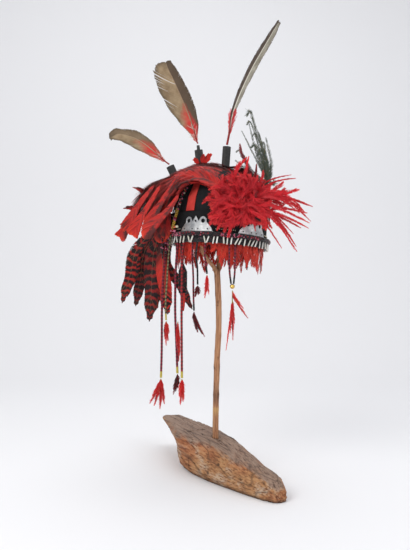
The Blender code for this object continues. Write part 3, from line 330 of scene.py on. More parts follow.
def growTree(name, tree, verts, edges, faces, rows, values):
    roots = bpy.data.meshes.new(name + "_roots")
    roots.from_pydata([tuple(v) for v in verts], edges, faces)
    for key, column in rows.items():
        kind, field = rowKinds.get(key, "FLOAT"), "value"
        if kind == "FLOAT_VECTOR":
            column, field = [x for vector in column for x in vector], "vector"
        roots.attributes.new(key, kind, "POINT").data.foreach_set(field, column)
    item = bpy.data.objects.new(name, roots)
    bpy.context.scene.collection.objects.link(item)
    modifier = item.modifiers.new(tree.name, "NODES")
    modifier.node_group = tree
    for socket in tree.interface.items_tree:
        if socket.in_out == "INPUT" and socket.name in values:
            modifier[socket.identifier] = values[socket.name]
    item.update_tag()
    bpy.context.view_layer.update()
    graph = bpy.context.evaluated_depsgraph_get()
    grown = bpy.data.meshes.new_from_object(item.evaluated_get(graph), preserve_all_data_layers=True,
                                            depsgraph=graph)
    item.modifiers.clear()
    item.data = grown
    grown.name = name
    grown.shade_smooth()
    for key in (*rowKinds, "thick"):  # the tree is done with these
        layer = grown.attributes.get(key)
        if layer:
            grown.attributes.remove(layer)
    return item


# feathers: one tree sets the barbs and the quills of every feathered piece
def makeFeatherTree():
    t = Tree("featherTree", (("Barb segments", "Int", 4), ("Barb tip width", "Float", 0.25),
                             ("Quill sides", "Int", 5)))
    # one flat barb along X, one unit long, tapering to its tip
    grid = t.add("GeometryNodeMeshGrid", {"Size X": 1.0, "Size Y": 1.0, "Vertices Y": 2,
                                          "Vertices X": t.plus(t.given["Barb segments"], 1)})
    place = t.add("ShaderNodeSeparateXYZ", {"Vector": t.add("GeometryNodeInputPosition")}).outputs
    flat = t.stored("across", t.plus(place["X"], 0.5), grid)
    across = t.named("across")
    squared = t.math("POWER", across, 2.0)
    taper = t.times(squared, t.math("SUBTRACT", 1.0, t.given["Barb tip width"]))
    width = t.times(place["Y"], t.math("SUBTRACT", 1.0, taper))
    barb = t.add("GeometryNodeSetPosition", {
        "Geometry": flat, "Position": t.add("ShaderNodeCombineXYZ", {"X": across, "Y": width})})

    # the roots of the barbs and the lines of the quills come in one mesh
    parts = t.split("isBarb")
    turn = t.add("FunctionNodeAxesToRotation", {0: t.named("aim", "FLOAT_VECTOR"),
                                                1: t.named("facing", "FLOAT_VECTOR")},
                 primary_axis="X", secondary_axis="Z")
    barbs = t.add("GeometryNodeInstanceOnPoints", {"Points": parts["Selection"], "Instance": barb, "Rotation": turn,
                                                   "Scale": t.named("size", "FLOAT_VECTOR")})
    bend = t.add("ShaderNodeVectorMath", {0: t.named("bend", "FLOAT_VECTOR"), "Scale": squared}, operation="SCALE")
    bent = t.add("GeometryNodeSetPosition", {
        "Geometry": t.add("GeometryNodeRealizeInstances", {"Geometry": barbs}), "Offset": bend})

    thick = t.named("thick")
    lines = t.add("GeometryNodeMeshToCurve", {"Mesh": parts["Inverted"]})
    lines = t.add("GeometryNodeSetCurveRadius", {"Curve": lines, "Radius": thick})
    ring = t.add("GeometryNodeCurvePrimitiveCircle", {"Radius": 1.0, "Resolution": t.given["Quill sides"]})
    quills = t.add("GeometryNodeCurveToMesh", {"Curve": lines, "Profile Curve": ring, "Scale": thick,
                                               "Fill Caps": True})
    return t.finished(bent, t.stored("quill", 1.0, quills))


featherTree = makeFeatherTree()
plainFeather = {"quillSteps": 8, "start": 0.08, "gaps": (), "sides": {}, "tipReach": 0.003, "tipRound": 1.0,
                "hook": 0.22, "cup": 0.12, "fluff": 0.10, "curlBack": 0.10, "twist": 0.35}


class Plumage:  # gathers the barb roots and quill lines of one piece
    def __init__(self, seed):
        self.rng = random.Random(seed)
        self.points, self.edges = [], []
        self.rows = {key: [] for key in ("isBarb", "aim", "facing", "size", "bend", "along", "tint", "tone",
                                         "thick", "side")}

    def put(self, point, *values):
        self.points.append(point)
        for column, value in zip(self.rows.values(), values):
            column.append(value)

    def feather(self, path, facing, style, tint=None, halfWidth=None):
        rng, style = self.rng, {**plainFeather, **style}
        tint = rng.random() if tint is None else tint
        length = pathLength(path)
        half = halfWidth or style["halfWidth"]
        zero = Vector((0, 0, 0))
        for i in range(style["quillSteps"] + 1):
            share = i / style["quillSteps"]
            if i:
                self.edges.append((len(self.points) - 1, len(self.points)))
            self.put(pathAt(path, share), False, zero, zero, zero, zero, share, tint, 0.5,
                     style["quill"] * (1.0 - 0.85 * share), 0.0)
        count = max(int(style["perMetre"] * length), 6)
        clump = rng.uniform(0, fullTurn)
        start = style["start"]
        for side in (-1, 1):
            sweepShift = rng.uniform(-0.04, 0.04)
            for i in range(count):
                share = start + (1 - start) * (i + 0.5 + rng.uniform(-0.3, 0.3)) / count
                share = min(share, 0.999)
                if any(side == gapSide and low < share < high for gapSide, low, high in style["gaps"]):
                    continue
                root = pathAt(path, share)
                heading = pathHeading(path, share)
                normal = facing(share) if callable(facing) else facing
                normal = (normal - normal.dot(heading) * heading).normalized()
                across = normal.cross(heading).normalized() * side
                opening = style["openBase"] + (style["openTip"] - style["openBase"]) * share ** 1.2
                opening += style["clump"] * math.sin(style["clumps"] * share * fullTurn + clump + side)
                opening += rng.gauss(0, style["scatter"])
                opening = math.radians(min(max(opening, 6), 88))
                wide = style["sides"].get(side, 1.0)
                reach = half * wide * curveShare(style["outline"], share) * (1 + sweepShift)
                reach *= 1.0 - style["ragged"] * rng.random() ** 2
                size = reach / max(math.sin(opening), 0.3)
                for step in range(12):  # shortened until the tip is rounded
                    lateral = min(size * math.sin(opening) / (half * wide), 1.0)
                    room = length * (1 - share) + style["tipReach"]
                    room -= half * style["tipRound"] * (1 - math.sqrt(1 - lateral * lateral))
                    if size * (math.cos(opening) + style["hook"]) <= room:
                        break
                    size *= 0.86
                rise = rng.gauss(style["cup"], style["fluff"])
                aim = (heading * math.cos(opening) + across * math.sin(opening) + normal * rise).normalized()
                droop = -normal * size * style["curlBack"] + heading * size * style["hook"]
                width = style["barbWidth"] * rng.uniform(0.7, 1.3)
                flat = (normal + across * rng.gauss(0, style["twist"])).normalized()
                self.put(root, True, aim, flat, Vector((size, width, 1.0)), droop, share, tint, rng.random(), 0.0,
                         side)

    def grow(self, name, material, segments=4, tipWidth=0.25, quillSides=5):
        return growTree(name, featherTree, self.points, self.edges, [], self.rows, {
            "Barb segments": segments, "Barb tip width": tipWidth, "Quill sides": quillSides, "Material": material})


def finishPiece(item, slotName, *nodes):
    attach(item, "root")
    if nodes:
        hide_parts(*nodes)
    return item


# colours of the feathers, in one place so that the pieces agree
feather = {"scarletTip": (0.86, 0.050, 0.035), "crimson": (0.34, 0.005, 0.008), "wine": (0.085, 0.004, 0.006),
           "soot": (0.012, 0.006, 0.006), "orange": (0.80, 0.055, 0.012)}


def featherFinish(s, colour, roughness=0.55, sheen=0.25):
    barbs = s.noise(s.objectPoint(), 900.0, 2.0)
    s.bump(barbs, 0.25, 0.0006)
    s.set(Base_Color=colour, Roughness=roughness, Sheen_Weight=sheen, Sheen_Roughness=0.4)
    s.surface.inputs["Sheen Tint"].default_value = (1.0, 0.75, 0.70, 1)
    s.surface.inputs["Specular IOR Level"].default_value = 0.35
    return s.material


def redFeather(name, deep, bright, tip, dark, shadeAndFleckShare, thread=None):
    s = Shader(name)
    tint, tone = s.attributes("tint", "tone")
    along, across, side = s.attributes("along", "across", "side")
    patch = s.noise(s.objectPoint(), 55.0, 3.0)
    body = s.mix(s.times(s.plus(tint, tone), 0.5, clamp=True), deep, bright)
    # the outer barb ends near the feather's tip take the tip colour: partly the feathers' own lighter tips, partly a
    # painted highlight where light shines through the thin barbs
    tipsAndHighlight = s.mix(s.times(s.span(across, 0.45, 1.0), s.span(along, 0.55, 1.0), clamp=True), body, tip)
    # painted shade: a feather whose tint is under the threshold gets a dark streak down one side, in noise patches,
    # for the shade on the far side of its curled vane
    paintedShadeSide = s.times(s.math("GREATER_THAN", s.times(side, s.math("SUBTRACT", tint, 0.5)), 0.0),
                    s.math("LESS_THAN", tint, shadeAndFleckShare))
    paintedShadeSide = s.times(paintedShadeSide, s.span(patch, 0.36, 0.56))
    # the flecks are the feathers' own dark marks, from a lower share of the same threshold
    fleck = s.times(s.math("LESS_THAN", tone, shadeAndFleckShare * 0.35), s.span(patch, 0.45, 0.6))
    # the dark colour is painted shade along the streak and the feathers' own colour in the flecks
    colour = s.mix(s.math("MAXIMUM", s.times(paintedShadeSide, 0.85), s.times(fleck, 0.7)), tipsAndHighlight, dark)
    if thread:
        colour = s.mix(s.attribute("quill"), colour, thread)
    return featherFinish(s, colour)


crownRed = redFeather("crownRed", (0.25, 0.004, 0.005), (0.62, 0.018, 0.010), feather["orange"], feather["soot"], 0.74)
rosetteRed = redFeather("rosetteRed", (0.36, 0.003, 0.010), (0.70, 0.008, 0.018), feather["scarletTip"],
                        feather["wine"], 0.06)
fringeRed = redFeather("fringeRed", (0.36, 0.007, 0.007), (0.82, 0.050, 0.018), feather["scarletTip"],
                       feather["wine"], 0.05)
backRed = redFeather("backRed", feather["soot"], (0.16, 0.006, 0.008), feather["crimson"], feather["soot"], 0.7)
tasselRed = redFeather("tasselRed", (0.56, 0.008, 0.014), (0.84, 0.026, 0.024), (0.92, 0.24, 0.24),
                       feather["wine"], 0.08, (0.42, 0.38, 0.10))
wineRed = redFeather("wineRed", feather["soot"], (0.24, 0.006, 0.014), (0.45, 0.02, 0.02), feather["soot"], 0.4)

vaneOutline = [(0, 0.35), (0.18, 0.85), (0.45, 1.0), (0.8, 0.86), (0.94, 0.6), (1.0, 0.25)]
hackleOutline = [(0, 0.55), (0.2, 1.0), (0.5, 0.85), (0.8, 0.5), (1.0, 0.16)]


# crown: long feathers swept from the right of the top over the left side
crown = {
    "count": 84, "halfWidth": 0.0160, "sizes": (0.8, 1.15), "span": (0.46, 0.66), "lift": (-0.003, 0.005),
    "starts": (0.12, 0.46, 0.46), "drift": 0.07, "bulge": 0.004, "bladeWidth": 1.3, "bladeStep": 0.006,
    # matching points in metres: the silhouette over the top, and the inner edge by the arch
    "top": [(0.046, 0.004, 0.566), (0.022, 0.002, 0.580), (-0.014, 0.000, 0.585), (-0.052, 0.000, 0.575),
            (-0.072, 0.002, 0.566), (-0.092, 0.002, 0.560), (-0.114, 0.000, 0.552), (-0.135, -0.003, 0.538),
            (-0.152, -0.005, 0.518), (-0.166, -0.006, 0.492), (-0.176, -0.008, 0.458)],
    # broad curled blades in front: x and z of their middle lines, nearness, half width, tint
    # a blade's tint under 0.74, other than 0.5, also gives it the painted shade streak down one side
    "blades": [((-0.066, -0.084, -0.107, -0.129), (0.518, 0.494, 0.472, 0.446), -0.088, 0.0150, 0.60),
               ((-0.128, -0.150, -0.166, -0.178), (0.520, 0.490, 0.466, 0.450), -0.040, 0.0110, 0.57),
               ((-0.100, -0.122, -0.140, -0.152), (0.540, 0.505, 0.476, 0.452), -0.060, 0.0120, 0.90),
               ((-0.072, -0.090, -0.108, -0.124), (0.548, 0.520, 0.492, 0.462), -0.078, 0.0110, 0.54),
               ((-0.112, -0.136, -0.154, -0.166), (0.542, 0.514, 0.486, 0.458), -0.046, 0.0125, 0.50),
               ((-0.066, -0.083, -0.090, -0.094), (0.532, 0.505, 0.480, 0.446), -0.052, 0.0125, 0.03),
               ((-0.074, -0.092, -0.099, -0.104), (0.528, 0.500, 0.470, 0.440), -0.040, 0.0125, 0.06)],
    # pointed tips: x and z of the foot, reach, half width, tint
    "spikes": [((-0.128, 0.528), (-0.028, 0.014), 0.0050, 0.05), ((-0.146, 0.500), (-0.028, 0.002), 0.0050, 0.05),
               ((-0.156, 0.474), (-0.024, -0.002), 0.0045, 0.05), ((-0.022, 0.584), (0.014, 0.021), 0.0060, 0.9),
               ((-0.026, 0.584), (0.004, 0.020), 0.0050, 0.7), ((-0.030, 0.584), (-0.012, 0.009), 0.0050, 0.9)],
    "edge": [(0.036, -0.088, 0.506), (0.004, -0.086, 0.528), (-0.020, -0.078, 0.542), (-0.044, -0.070, 0.543),
             (-0.068, -0.063, 0.526),
             (-0.082, -0.062, 0.504), (-0.094, -0.056, 0.482), (-0.106, -0.050, 0.464), (-0.122, -0.044, 0.446)],
}
crownStyle = {"quill": 0.0007, "perMetre": 620, "openBase": 40, "openTip": 26, "clump": 2.5,
              "clumps": 2, "scatter": 1.2, "ragged": 0.10, "barbWidth": 0.0030, "start": 0.03, "twist": 0.10,
              "fluff": 0.03, "cup": 0.10, "tipRound": 0.8, "outline": vaneOutline}

spikeStyle = dict(crownStyle, perMetre=2200, openBase=30, openTip=12, barbWidth=0.0016, tipRound=2.2,
                  outline=[(0, 1.0), (0.3, 0.7), (0.7, 0.25), (1.0, 0.02)])
spoonStyle = dict(crownStyle, perMetre=1100, tipRound=0.9, scatter=0.6, ragged=0.05,
                  outline=[(0, 0.18), (0.35, 0.32), (0.75, 1.0), (0.9, 0.95), (1.0, 0.6)])


def awayFrom(heart, points):
    return lambda share: (pathAt(points, share) - heart).normalized()


def crownPoint(u, v):
    low, high = pathAt(crownTop, v), pathAt(crownEdge, v)
    bulge = math.sin(math.pi * min(max(u, 0), 1)) * crown["bulge"]
    point = low.lerp(high, u)
    out = (point - headTurn @ Vector((0, 0, 0.05))).normalized()
    return point + out * bulge


crownTop, crownEdge = smoothPath(crown["top"], 40), smoothPath(crown["edge"], 40)
crownHeart = headTurn @ Vector((-0.02, 0.01, 0.04))


def makeCrown():
    plumes = Plumage(11)
    rng = plumes.rng
    for k in range(crown["count"]):
        layer = k / (crown["count"] - 1)
        u = rng.uniform(0.02, 0.98)
        v0 = (1 - layer) * crown["starts"][k % 3] + rng.uniform(-0.04, 0.04)
        span = rng.uniform(*crown["span"])
        v1 = min(v0 + span, 0.97 - 0.22 * u * u + rng.uniform(-0.06, 0.06))
        drift = rng.uniform(-crown["drift"], crown["drift"])
        lift = crown["lift"][0] + (crown["lift"][1] - crown["lift"][0]) * layer
        points = []
        for i in range(9):
            share = i / 8
            v = v0 + (v1 - v0) * share
            point = crownPoint(u + drift * share, max(v, 0.0))
            out = (point - crownHeart).normalized()
            points.append(point + out * (lift + 0.004 * math.sin(3.1 * share) - 0.003))
        plumes.feather(points, awayFrom(crownHeart, points), crownStyle,
                       halfWidth=crown["halfWidth"] * rng.uniform(*crown["sizes"]))
    # stray tips that stand off the silhouette, and tufts by the middle tube
    for (x, z), (dx, dz), size, tint in crown["spikes"]:
        root = Vector((x, -0.012, z))
        tip = Vector((x + dx, -0.014, z + dz))
        plumes.feather([root, root.lerp(tip, 0.5) + Vector((0, -0.002, 0.002)), tip], front, spikeStyle,
                       tint=tint, halfWidth=size)
    for xs, zs, y, size, tint in crown["blades"]:
        path = smoothPath([(x, y + crown["bladeStep"] * k, z) for k, (x, z) in enumerate(zip(xs, zs))], 12)
        plumes.feather(path, Vector((-0.25, -1, 0.15)).normalized(), spoonStyle, tint=tint,
                       halfWidth=size * crown["bladeWidth"])
    item = plumes.grow("crown_plumes", crownRed, segments=3, tipWidth=0.4, quillSides=4)
    return finishPiece(item, "crimson_feather", "crown_feathers")


# back: dark feathers laid down the back and the sides of the cap
back = {"from": 88, "over": 184, "drift": 7, "halfWidth": (0.010, 0.014),
        "rows": ((38, 3, 20), (58, 14, 17), (76, 30, 13), (87, 46, 8))}  # first and last rise in degrees, count
backStyle = dict(crownStyle, perMetre=420, barbWidth=0.0034)


def makeBack():
    plumes = Plumage(12)
    rng = plumes.rng
    heart = headTurn @ Vector((0, 0, 0.03))
    for row, (high, low, count) in enumerate(back["rows"]):
        for k in range(count):
            angle = back["from"] + back["over"] * (k + rng.uniform(0.2, 0.8)) / count
            drift = rng.uniform(-back["drift"], back["drift"])
            points = []
            for i in range(7):
                share = i / 6
                rise = high + (low - high) * share
                at = angle + drift * share
                if row == 0 and share > 0.8:  # the lowest tips stand off over the band
                    points.append(ovalPoint(at, 0.006 + 0.002 * share, 0.050 - 0.03 * (share - 0.8)))
                else:
                    lift = 0.004 + 0.0022 * row + 0.004 * math.sin(3.0 * share)
                    points.append(domePoint(at, max(rise, 1), lift))
            plumes.feather(points, awayFrom(heart, points), backStyle, halfWidth=rng.uniform(*back["halfWidth"]))
    item = plumes.grow("back_plumes", backRed, segments=3, tipWidth=0.4, quillSides=4)
    return finishPiece(item, "crimson_feather", "back_feathers")


# rosette: a burst of scarlet hackles at the right of the front
rosette = {"angle": 23.0, "out": 0.0085, "height": 0.066, "knots": (0.0, 0.25, 0.5, 0.75, 1.0),
           "sizes": (0.8, 1.15), "depth": 0.010, "bow": (0.004, 0.018), "sway": 0.016, "roll": 0.45}
curls = {"count": 26, "length": (0.026, 0.046), "sway": 0.012, "bow": 0.009, "halfWidth": (0.0055, 0.0085)}
hackleGroups = [  # first and last direction, first and last length, count, half width, droop
    (150, 214, 0.052, 0.062, 17, 0.0080, 0.002), (214, 238, 0.048, 0.064, 11, 0.0080, 0.004),
    (236, 300, 0.030, 0.038, 18, 0.0075, 0.002), (298, 330, 0.042, 0.056, 10, 0.0062, 0.006),
    (330, 350, 0.072, 0.090, 7, 0.0034, 0.050), (348, 371, 0.090, 0.110, 10, 0.0042, 0.030),
    (352, 385, 0.060, 0.086, 10, 0.0075, 0.004), (20, 60, 0.042, 0.058, 8, 0.0070, 0.0),
    (60, 112, 0.032, 0.046, 10, 0.0075, 0.0), (112, 152, 0.038, 0.050, 9, 0.0080, 0.0),
    (25, 28, 0.088, 0.092, 2, 0.0030, 0.0), (78, 84, 0.070, 0.078, 2, 0.0060, 0.0),
]
hackleStyle = {"quill": 0.0006, "perMetre": 620, "openBase": 52, "openTip": 20, "clump": 7,
               "clumps": 3, "scatter": 5, "ragged": 0.45, "barbWidth": 0.0013, "start": 0.05, "twist": 0.3,
               "fluff": 0.16, "cup": 0.08, "hook": 0.30, "outline": hackleOutline}


def makeRosette():
    plumes = Plumage(13)
    rng = plumes.rng
    centre = ovalPoint(rosette["angle"], rosette["out"], rosette["height"])
    for first, last, short, long, count, half, droop in hackleGroups:
        for k in range(count):
            direction = math.radians(first + (last - first) * (k + rng.uniform(0.1, 0.9)) / count)
            length = rng.uniform(short, long)
            out = Vector((math.cos(direction), 0, math.sin(direction)))
            depth = rng.uniform(0.0, rosette["depth"])
            spread = Vector((rng.uniform(-0.014, 0.010), 0, rng.uniform(-0.005, 0.014)))
            root = centre + out * rng.uniform(-0.004, 0.010) + spread + Vector((0, -depth * 0.8, 0))
            length -= spread.dot(out) * 0.8
            bow = rng.uniform(*rosette["bow"])
            aside = Vector((-out.z, 0, out.x))
            side = aside * rng.uniform(-rosette["sway"], rosette["sway"])
            points = []
            for share in rosette["knots"]:
                points.append(root + out * length * share + side * math.sin(3.14 * share)
                              + Vector((0, -bow * math.sin(2.3 * share) - depth * 0.5 * share, -droop * share ** 2)))
            face = (front + rng.uniform(-rosette["roll"], rosette["roll"]) * aside).normalized()
            plumes.feather(smoothPath(points, 12), face, hackleStyle,
                           halfWidth=half * rng.uniform(*rosette["sizes"]))
    for k in range(curls["count"]):  # short curled hackles over the middle
        direction = rng.uniform(0, 2 * math.pi)
        out = Vector((math.cos(direction), 0, math.sin(direction)))
        root = centre + Vector((rng.uniform(-0.018, 0.020), -rng.uniform(0.010, 0.018),
                                rng.uniform(-0.014, 0.020)))
        length = rng.uniform(*curls["length"]) * (1 + 0.5 * min(out.z, 0))
        side = Vector((-out.z, 0, out.x)) * rng.uniform(-curls["sway"], curls["sway"])
        points = []
        for share in rosette["knots"]:
            points.append(root + out * length * share + side * math.sin(3.14 * share)
                          + Vector((0, -curls["bow"] * math.sin(2.6 * share), 0)))
        plumes.feather(smoothPath(points, 10), (front + 0.5 * side.normalized()).normalized(), hackleStyle,
                       halfWidth=rng.uniform(*curls["halfWidth"]))
    item = plumes.grow("rosette_hackles", rosetteRed, segments=4, tipWidth=0.22, quillSides=4)
    return finishPiece(item, "scarlet_feather", "rosette")


# fringe: short wispy feathers under the band, with the parting at the front of the stick
fringe = {"rows": ((-0.0020, 84, 1.0), (-0.0038, 44, 0.80)), "length": 0.047, "parting": -20.0, "partingHalf": 17.0,
          "lengths": (0.58, 1.12), "swing": 0.013, "halfWidth": (0.0036, 0.0060)}  # rows: outward, count, length share
fringeStyle = {"quill": 0.0005, "perMetre": 900, "openBase": 46, "openTip": 18, "clump": 8,
               "clumps": 2, "scatter": 5, "ragged": 0.5, "barbWidth": 0.0010, "start": 0.04, "twist": 0.3,
               "fluff": 0.14, "hook": 0.30, "outline": hackleOutline}


def makeFringe():
    plumes = Plumage(14)
    rng = plumes.rng
    for outward, count, share in fringe["rows"]:
        for k in range(count):
            angle = 360 * (k + rng.uniform(-0.3, 0.3)) / count
            away = abs((angle - fringe["parting"] + 180) % 360 - 180)
            length = fringe["length"] * share * rng.uniform(*fringe["lengths"])
            if away < fringe["partingHalf"]:
                length *= 0.30 + 0.25 * (away / fringe["partingHalf"]) ** 2
            swing = rng.uniform(-fringe["swing"], fringe["swing"])
            root = ovalPoint(angle, outward, -0.0002)
            inward = (ovalPoint(angle, outward - 0.01, -0.0002) - root).normalized()
            turn = math.radians(angle)
            sideways = Vector((math.cos(turn), math.sin(turn), 0))
            points = [root, root + Vector((0, 0, -length * 0.35)) + inward * 0.0012,
                      root + Vector((0, 0, -length * 0.70)) + inward * 0.003 + sideways * swing * 0.5,
                      root + Vector((0, 0, -length)) + inward * 0.0042 + sideways * swing]
            plumes.feather(smoothPath(points, 9), -inward, fringeStyle, halfWidth=rng.uniform(*fringe["halfWidth"]))
    item = plumes.grow("fringe_feathers", fringeRed, segments=3, tipWidth=0.22, quillSides=4)
    return finishPiece(item, "scarlet_feather", "feather_fringe")


makeCrown()
makeBack()
makeRosette()
makeFringe()
print("red feathers made")


# upright feathers: pale shaft, tan vane with brown edges, red towards the foot
uprights = {  # the vane's rows are x, y, z and full width, from the foot up
    "left": {"mouth": (-0.0862, 0.0, 0.5835), "lean": 25.0, "turn": 8.0, "first": 0.004, "redTo": 0.40,
             "redSoft": 0.26, "darkSide": -0.7, "sides": {-1: 0.62, 1: 0.96}, "shaft": (0.36, 0.26, 0.16),
             "down": (0.62, 0.54, 0.46), "vane": [
                 (-0.0983, 0.000, 0.5950, 0.008), (-0.1076, 0.000, 0.6034, 0.026), (-0.1196, 0.000, 0.6140, 0.041),
                 (-0.1369, 0.000, 0.6273, 0.042), (-0.1529, 0.000, 0.6367, 0.035), (-0.1688, 0.000, 0.6420, 0.028),
                 (-0.1849, 0.000, 0.6450, 0.020), (-0.1985, 0.000, 0.6385, 0.008)]},
    "middle": {"mouth": (-0.0322, 0.0, 0.6140), "lean": 6.0, "turn": 0.0, "first": 0.013, "redTo": 0.36,
               "redSoft": 0.18, "darkSide": -1.3, "shaft": (0.30, 0.20, 0.12), "down": (0.66, 0.60, 0.52),
               "gaps": [(1, 0.700, 0.712), (1, 0.738, 0.752)], "sides": {-1: 0.67, 1: 1.33}, "open": (52, 46),
               "vane": [
                   (-0.0361, 0.000, 0.6327, 0.008), (-0.0414, 0.000, 0.6540, 0.038), (-0.0489, 0.000, 0.6754, 0.052),
                   (-0.0582, 0.000, 0.6994, 0.054), (-0.0689, 0.000, 0.7233, 0.051), (-0.0796, 0.000, 0.7474, 0.044),
                   (-0.0889, 0.000, 0.7661, 0.034), (-0.0943, 0.000, 0.7800, 0.014)]},
    "right": {"mouth": (0.0215, 0.0, 0.6205), "lean": -4.0, "turn": 70.0, "first": 0.004, "redTo": 0.26,
              "redSoft": 0.07, "darkSide": 1.35, "shaft": (0.86, 0.82, 0.68), "down": (0.76, 0.070, 0.075),
              "web": ((0.34, 0.31, 0.235), (0.56, 0.52, 0.42)), "quill": 0.0022,
              "fan": {"halfWidth": 0.0125, "openBase": 24, "openTip": 14, "scatter": 5, "barbWidth": 0.0009,
                      "perMetre": 2200, "fluff": 0.15},
              "sides": {1: 0.7, -1: 1.0}, "vane": [
                  (0.0270, 0.000, 0.6513, 0.008), (0.0311, 0.000, 0.6781, 0.028), (0.0404, 0.000, 0.7074, 0.038),
                  (0.0551, 0.000, 0.7420, 0.042), (0.0724, 0.000, 0.7767, 0.040), (0.0925, 0.000, 0.8113, 0.033),
                  (0.1098, 0.000, 0.8408, 0.020), (0.1191, 0.000, 0.8560, 0.006)]},
}
uprightStyle = {"quill": 0.0015, "quillSteps": 24, "perMetre": 1500, "openBase": 50, "openTip": 24, "clump": 2.5,
                "clumps": 3, "scatter": 0.7, "ragged": 0.05, "barbWidth": 0.0015, "twist": 0.05, "fluff": 0.015,
                "cup": 0.05, "hook": 0.18, "curlBack": 0.04}
downStyle = {"perMetre": 900, "scatter": 16, "ragged": 0.6, "barbWidth": 0.0006, "fluff": 0.5, "twist": 0.8,
             "curlBack": 0.3, "quill": 0.0003, "outline": [(0, 0.3), (0.5, 0.9), (1, 0.6)], "start": 0.0,
             "tipReach": 0.012, "halfWidth": 0.014, "gaps": ()}


def uprightMaterial(name, row):
    s = Shader(name)
    along, across, side = s.attributes("along", "across", "side")
    tone, quill = s.attributes("tone", "quill")
    mottle = s.noise(s.objectPoint(), 60.0, 3.0)
    low, high = row.get("web", ((0.26, 0.175, 0.095), (0.42, 0.31, 0.185)))
    web = s.mix(s.span(mottle, 0.35, 0.7), low, high)
    web = s.mix(s.times(s.span(tone, 0.0, 1.0), 0.25), web, (0.16, 0.11, 0.065))
    edge = s.times(s.span(across, 0.72, 1.0), 0.75)
    web = s.mix(edge, web, (0.075, 0.052, 0.030))
    sign = 1 if row["darkSide"] > 0 else -1
    shade = s.span(s.times(side, sign), 0.0, 0.4, 0.0, abs(row["darkSide"]) * 0.7)
    web = s.mix(shade, web, (0.075, 0.046, 0.028))
    tip = s.times(s.span(along, 0.84, 1.0), 0.65)
    web = s.mix(tip, web, (0.070, 0.048, 0.030))
    reach = s.plus(along, s.times(s.math("SUBTRACT", mottle, 0.5), 0.30))
    reach = s.plus(reach, s.times(across, 0.34))
    red = s.span(reach, row["redTo"], row["redTo"] + row["redSoft"], 0.92, 0.0)
    red = s.times(red, s.span(tone, 0.0, 0.3, 0.75, 1.0))
    web = s.mix(red, web, (0.62, 0.018, 0.020))
    web = s.mix(s.span(s.attribute("tint"), 0.80, 0.85), web, row["down"])
    shaft = s.mix(s.span(along, row["redTo"] * 0.5, row["redTo"]), (0.26, 0.010, 0.010), row["shaft"])
    colour = s.mix(quill, web, shaft)
    return featherFinish(s, colour, 0.5, 0.15)


def makeUprights():
    for seed, (name, row) in enumerate(uprights.items()):
        plumes = Plumage(40 + seed)
        lean = math.radians(row["lean"])
        axis = Vector((-math.sin(lean), 0, math.cos(lean)))
        mouth = Vector(row["mouth"])
        knots = [mouth + axis * row["first"]] + [Vector(p[:3]) for p in row["vane"]]
        path = smoothPath(knots, 40)
        widths = [0.0] + [p[3] for p in row["vane"]]
        widest = max(widths)
        outline = [(i / (len(widths) - 1), w / widest) for i, w in enumerate(widths)]
        face = Matrix.Rotation(math.radians(row["turn"]), 3, "Z") @ front
        first, last = row.get("open", (50, 26))
        style = dict(uprightStyle, halfWidth=widest / 2, outline=outline, start=1 / (len(widths) - 1) - 0.03,
                     gaps=row.get("gaps", ()), sides=row["sides"], openBase=first, openTip=last,
                     quill=row.get("quill", uprightStyle["quill"]))
        plumes.feather(path, face, style, tint=0.5)
        # loose down at the foot of the vane
        down = dict(style, **downStyle)
        down.update(row.get("fan", {}))
        plumes.feather([pathAt(path, 0.08 + 0.20 * i / 5) for i in range(6)], front, down, tint=0.9)
        item = plumes.grow("feather_" + name + "_vane", uprightMaterial("tanVane_" + name, row), segments=4,
                           tipWidth=0.55, quillSides=8)
        finishPiece(item, "tan_feather", "feather_" + name)


# herls and the small dark feather by the rosette's upper edge
herl = {
    "root": (84, 34, -0.0020), "stem": (0.012, -0.002, 0.022),
    "tips": [(-0.016, 0.000, 0.132), (-0.034, 0.004, 0.120), (-0.003, -0.004, 0.104), (0.006, 0.006, 0.080),
             (0.026, 0.002, 0.028), (-0.046, 0.004, 0.064), (-0.006, -0.002, 0.110), (0.000, 0.003, 0.100),
             (0.004, 0.002, 0.094), (0.002, -0.002, 0.072), (0.014, -0.003, 0.062), (0.020, 0.004, 0.050),
             (-0.008, 0.004, 0.090), (0.008, 0.000, 0.088), (0.018, -0.002, 0.024), (-0.036, 0.000, 0.080)],
    "extra": 9, "spread": (0.008, 0.008, 0.018),
}
herlStyle = {"quill": 0.0006, "perMetre": 900, "openBase": 40, "openTip": 28, "clump": 6,
             "clumps": 4, "scatter": 7, "ragged": 0.45, "barbWidth": 0.0006, "start": 0.15, "twist": 0.6,
             "fluff": 0.35, "outline": [(0, 0.4), (0.3, 1.0), (0.8, 0.9), (1.0, 0.4)]}


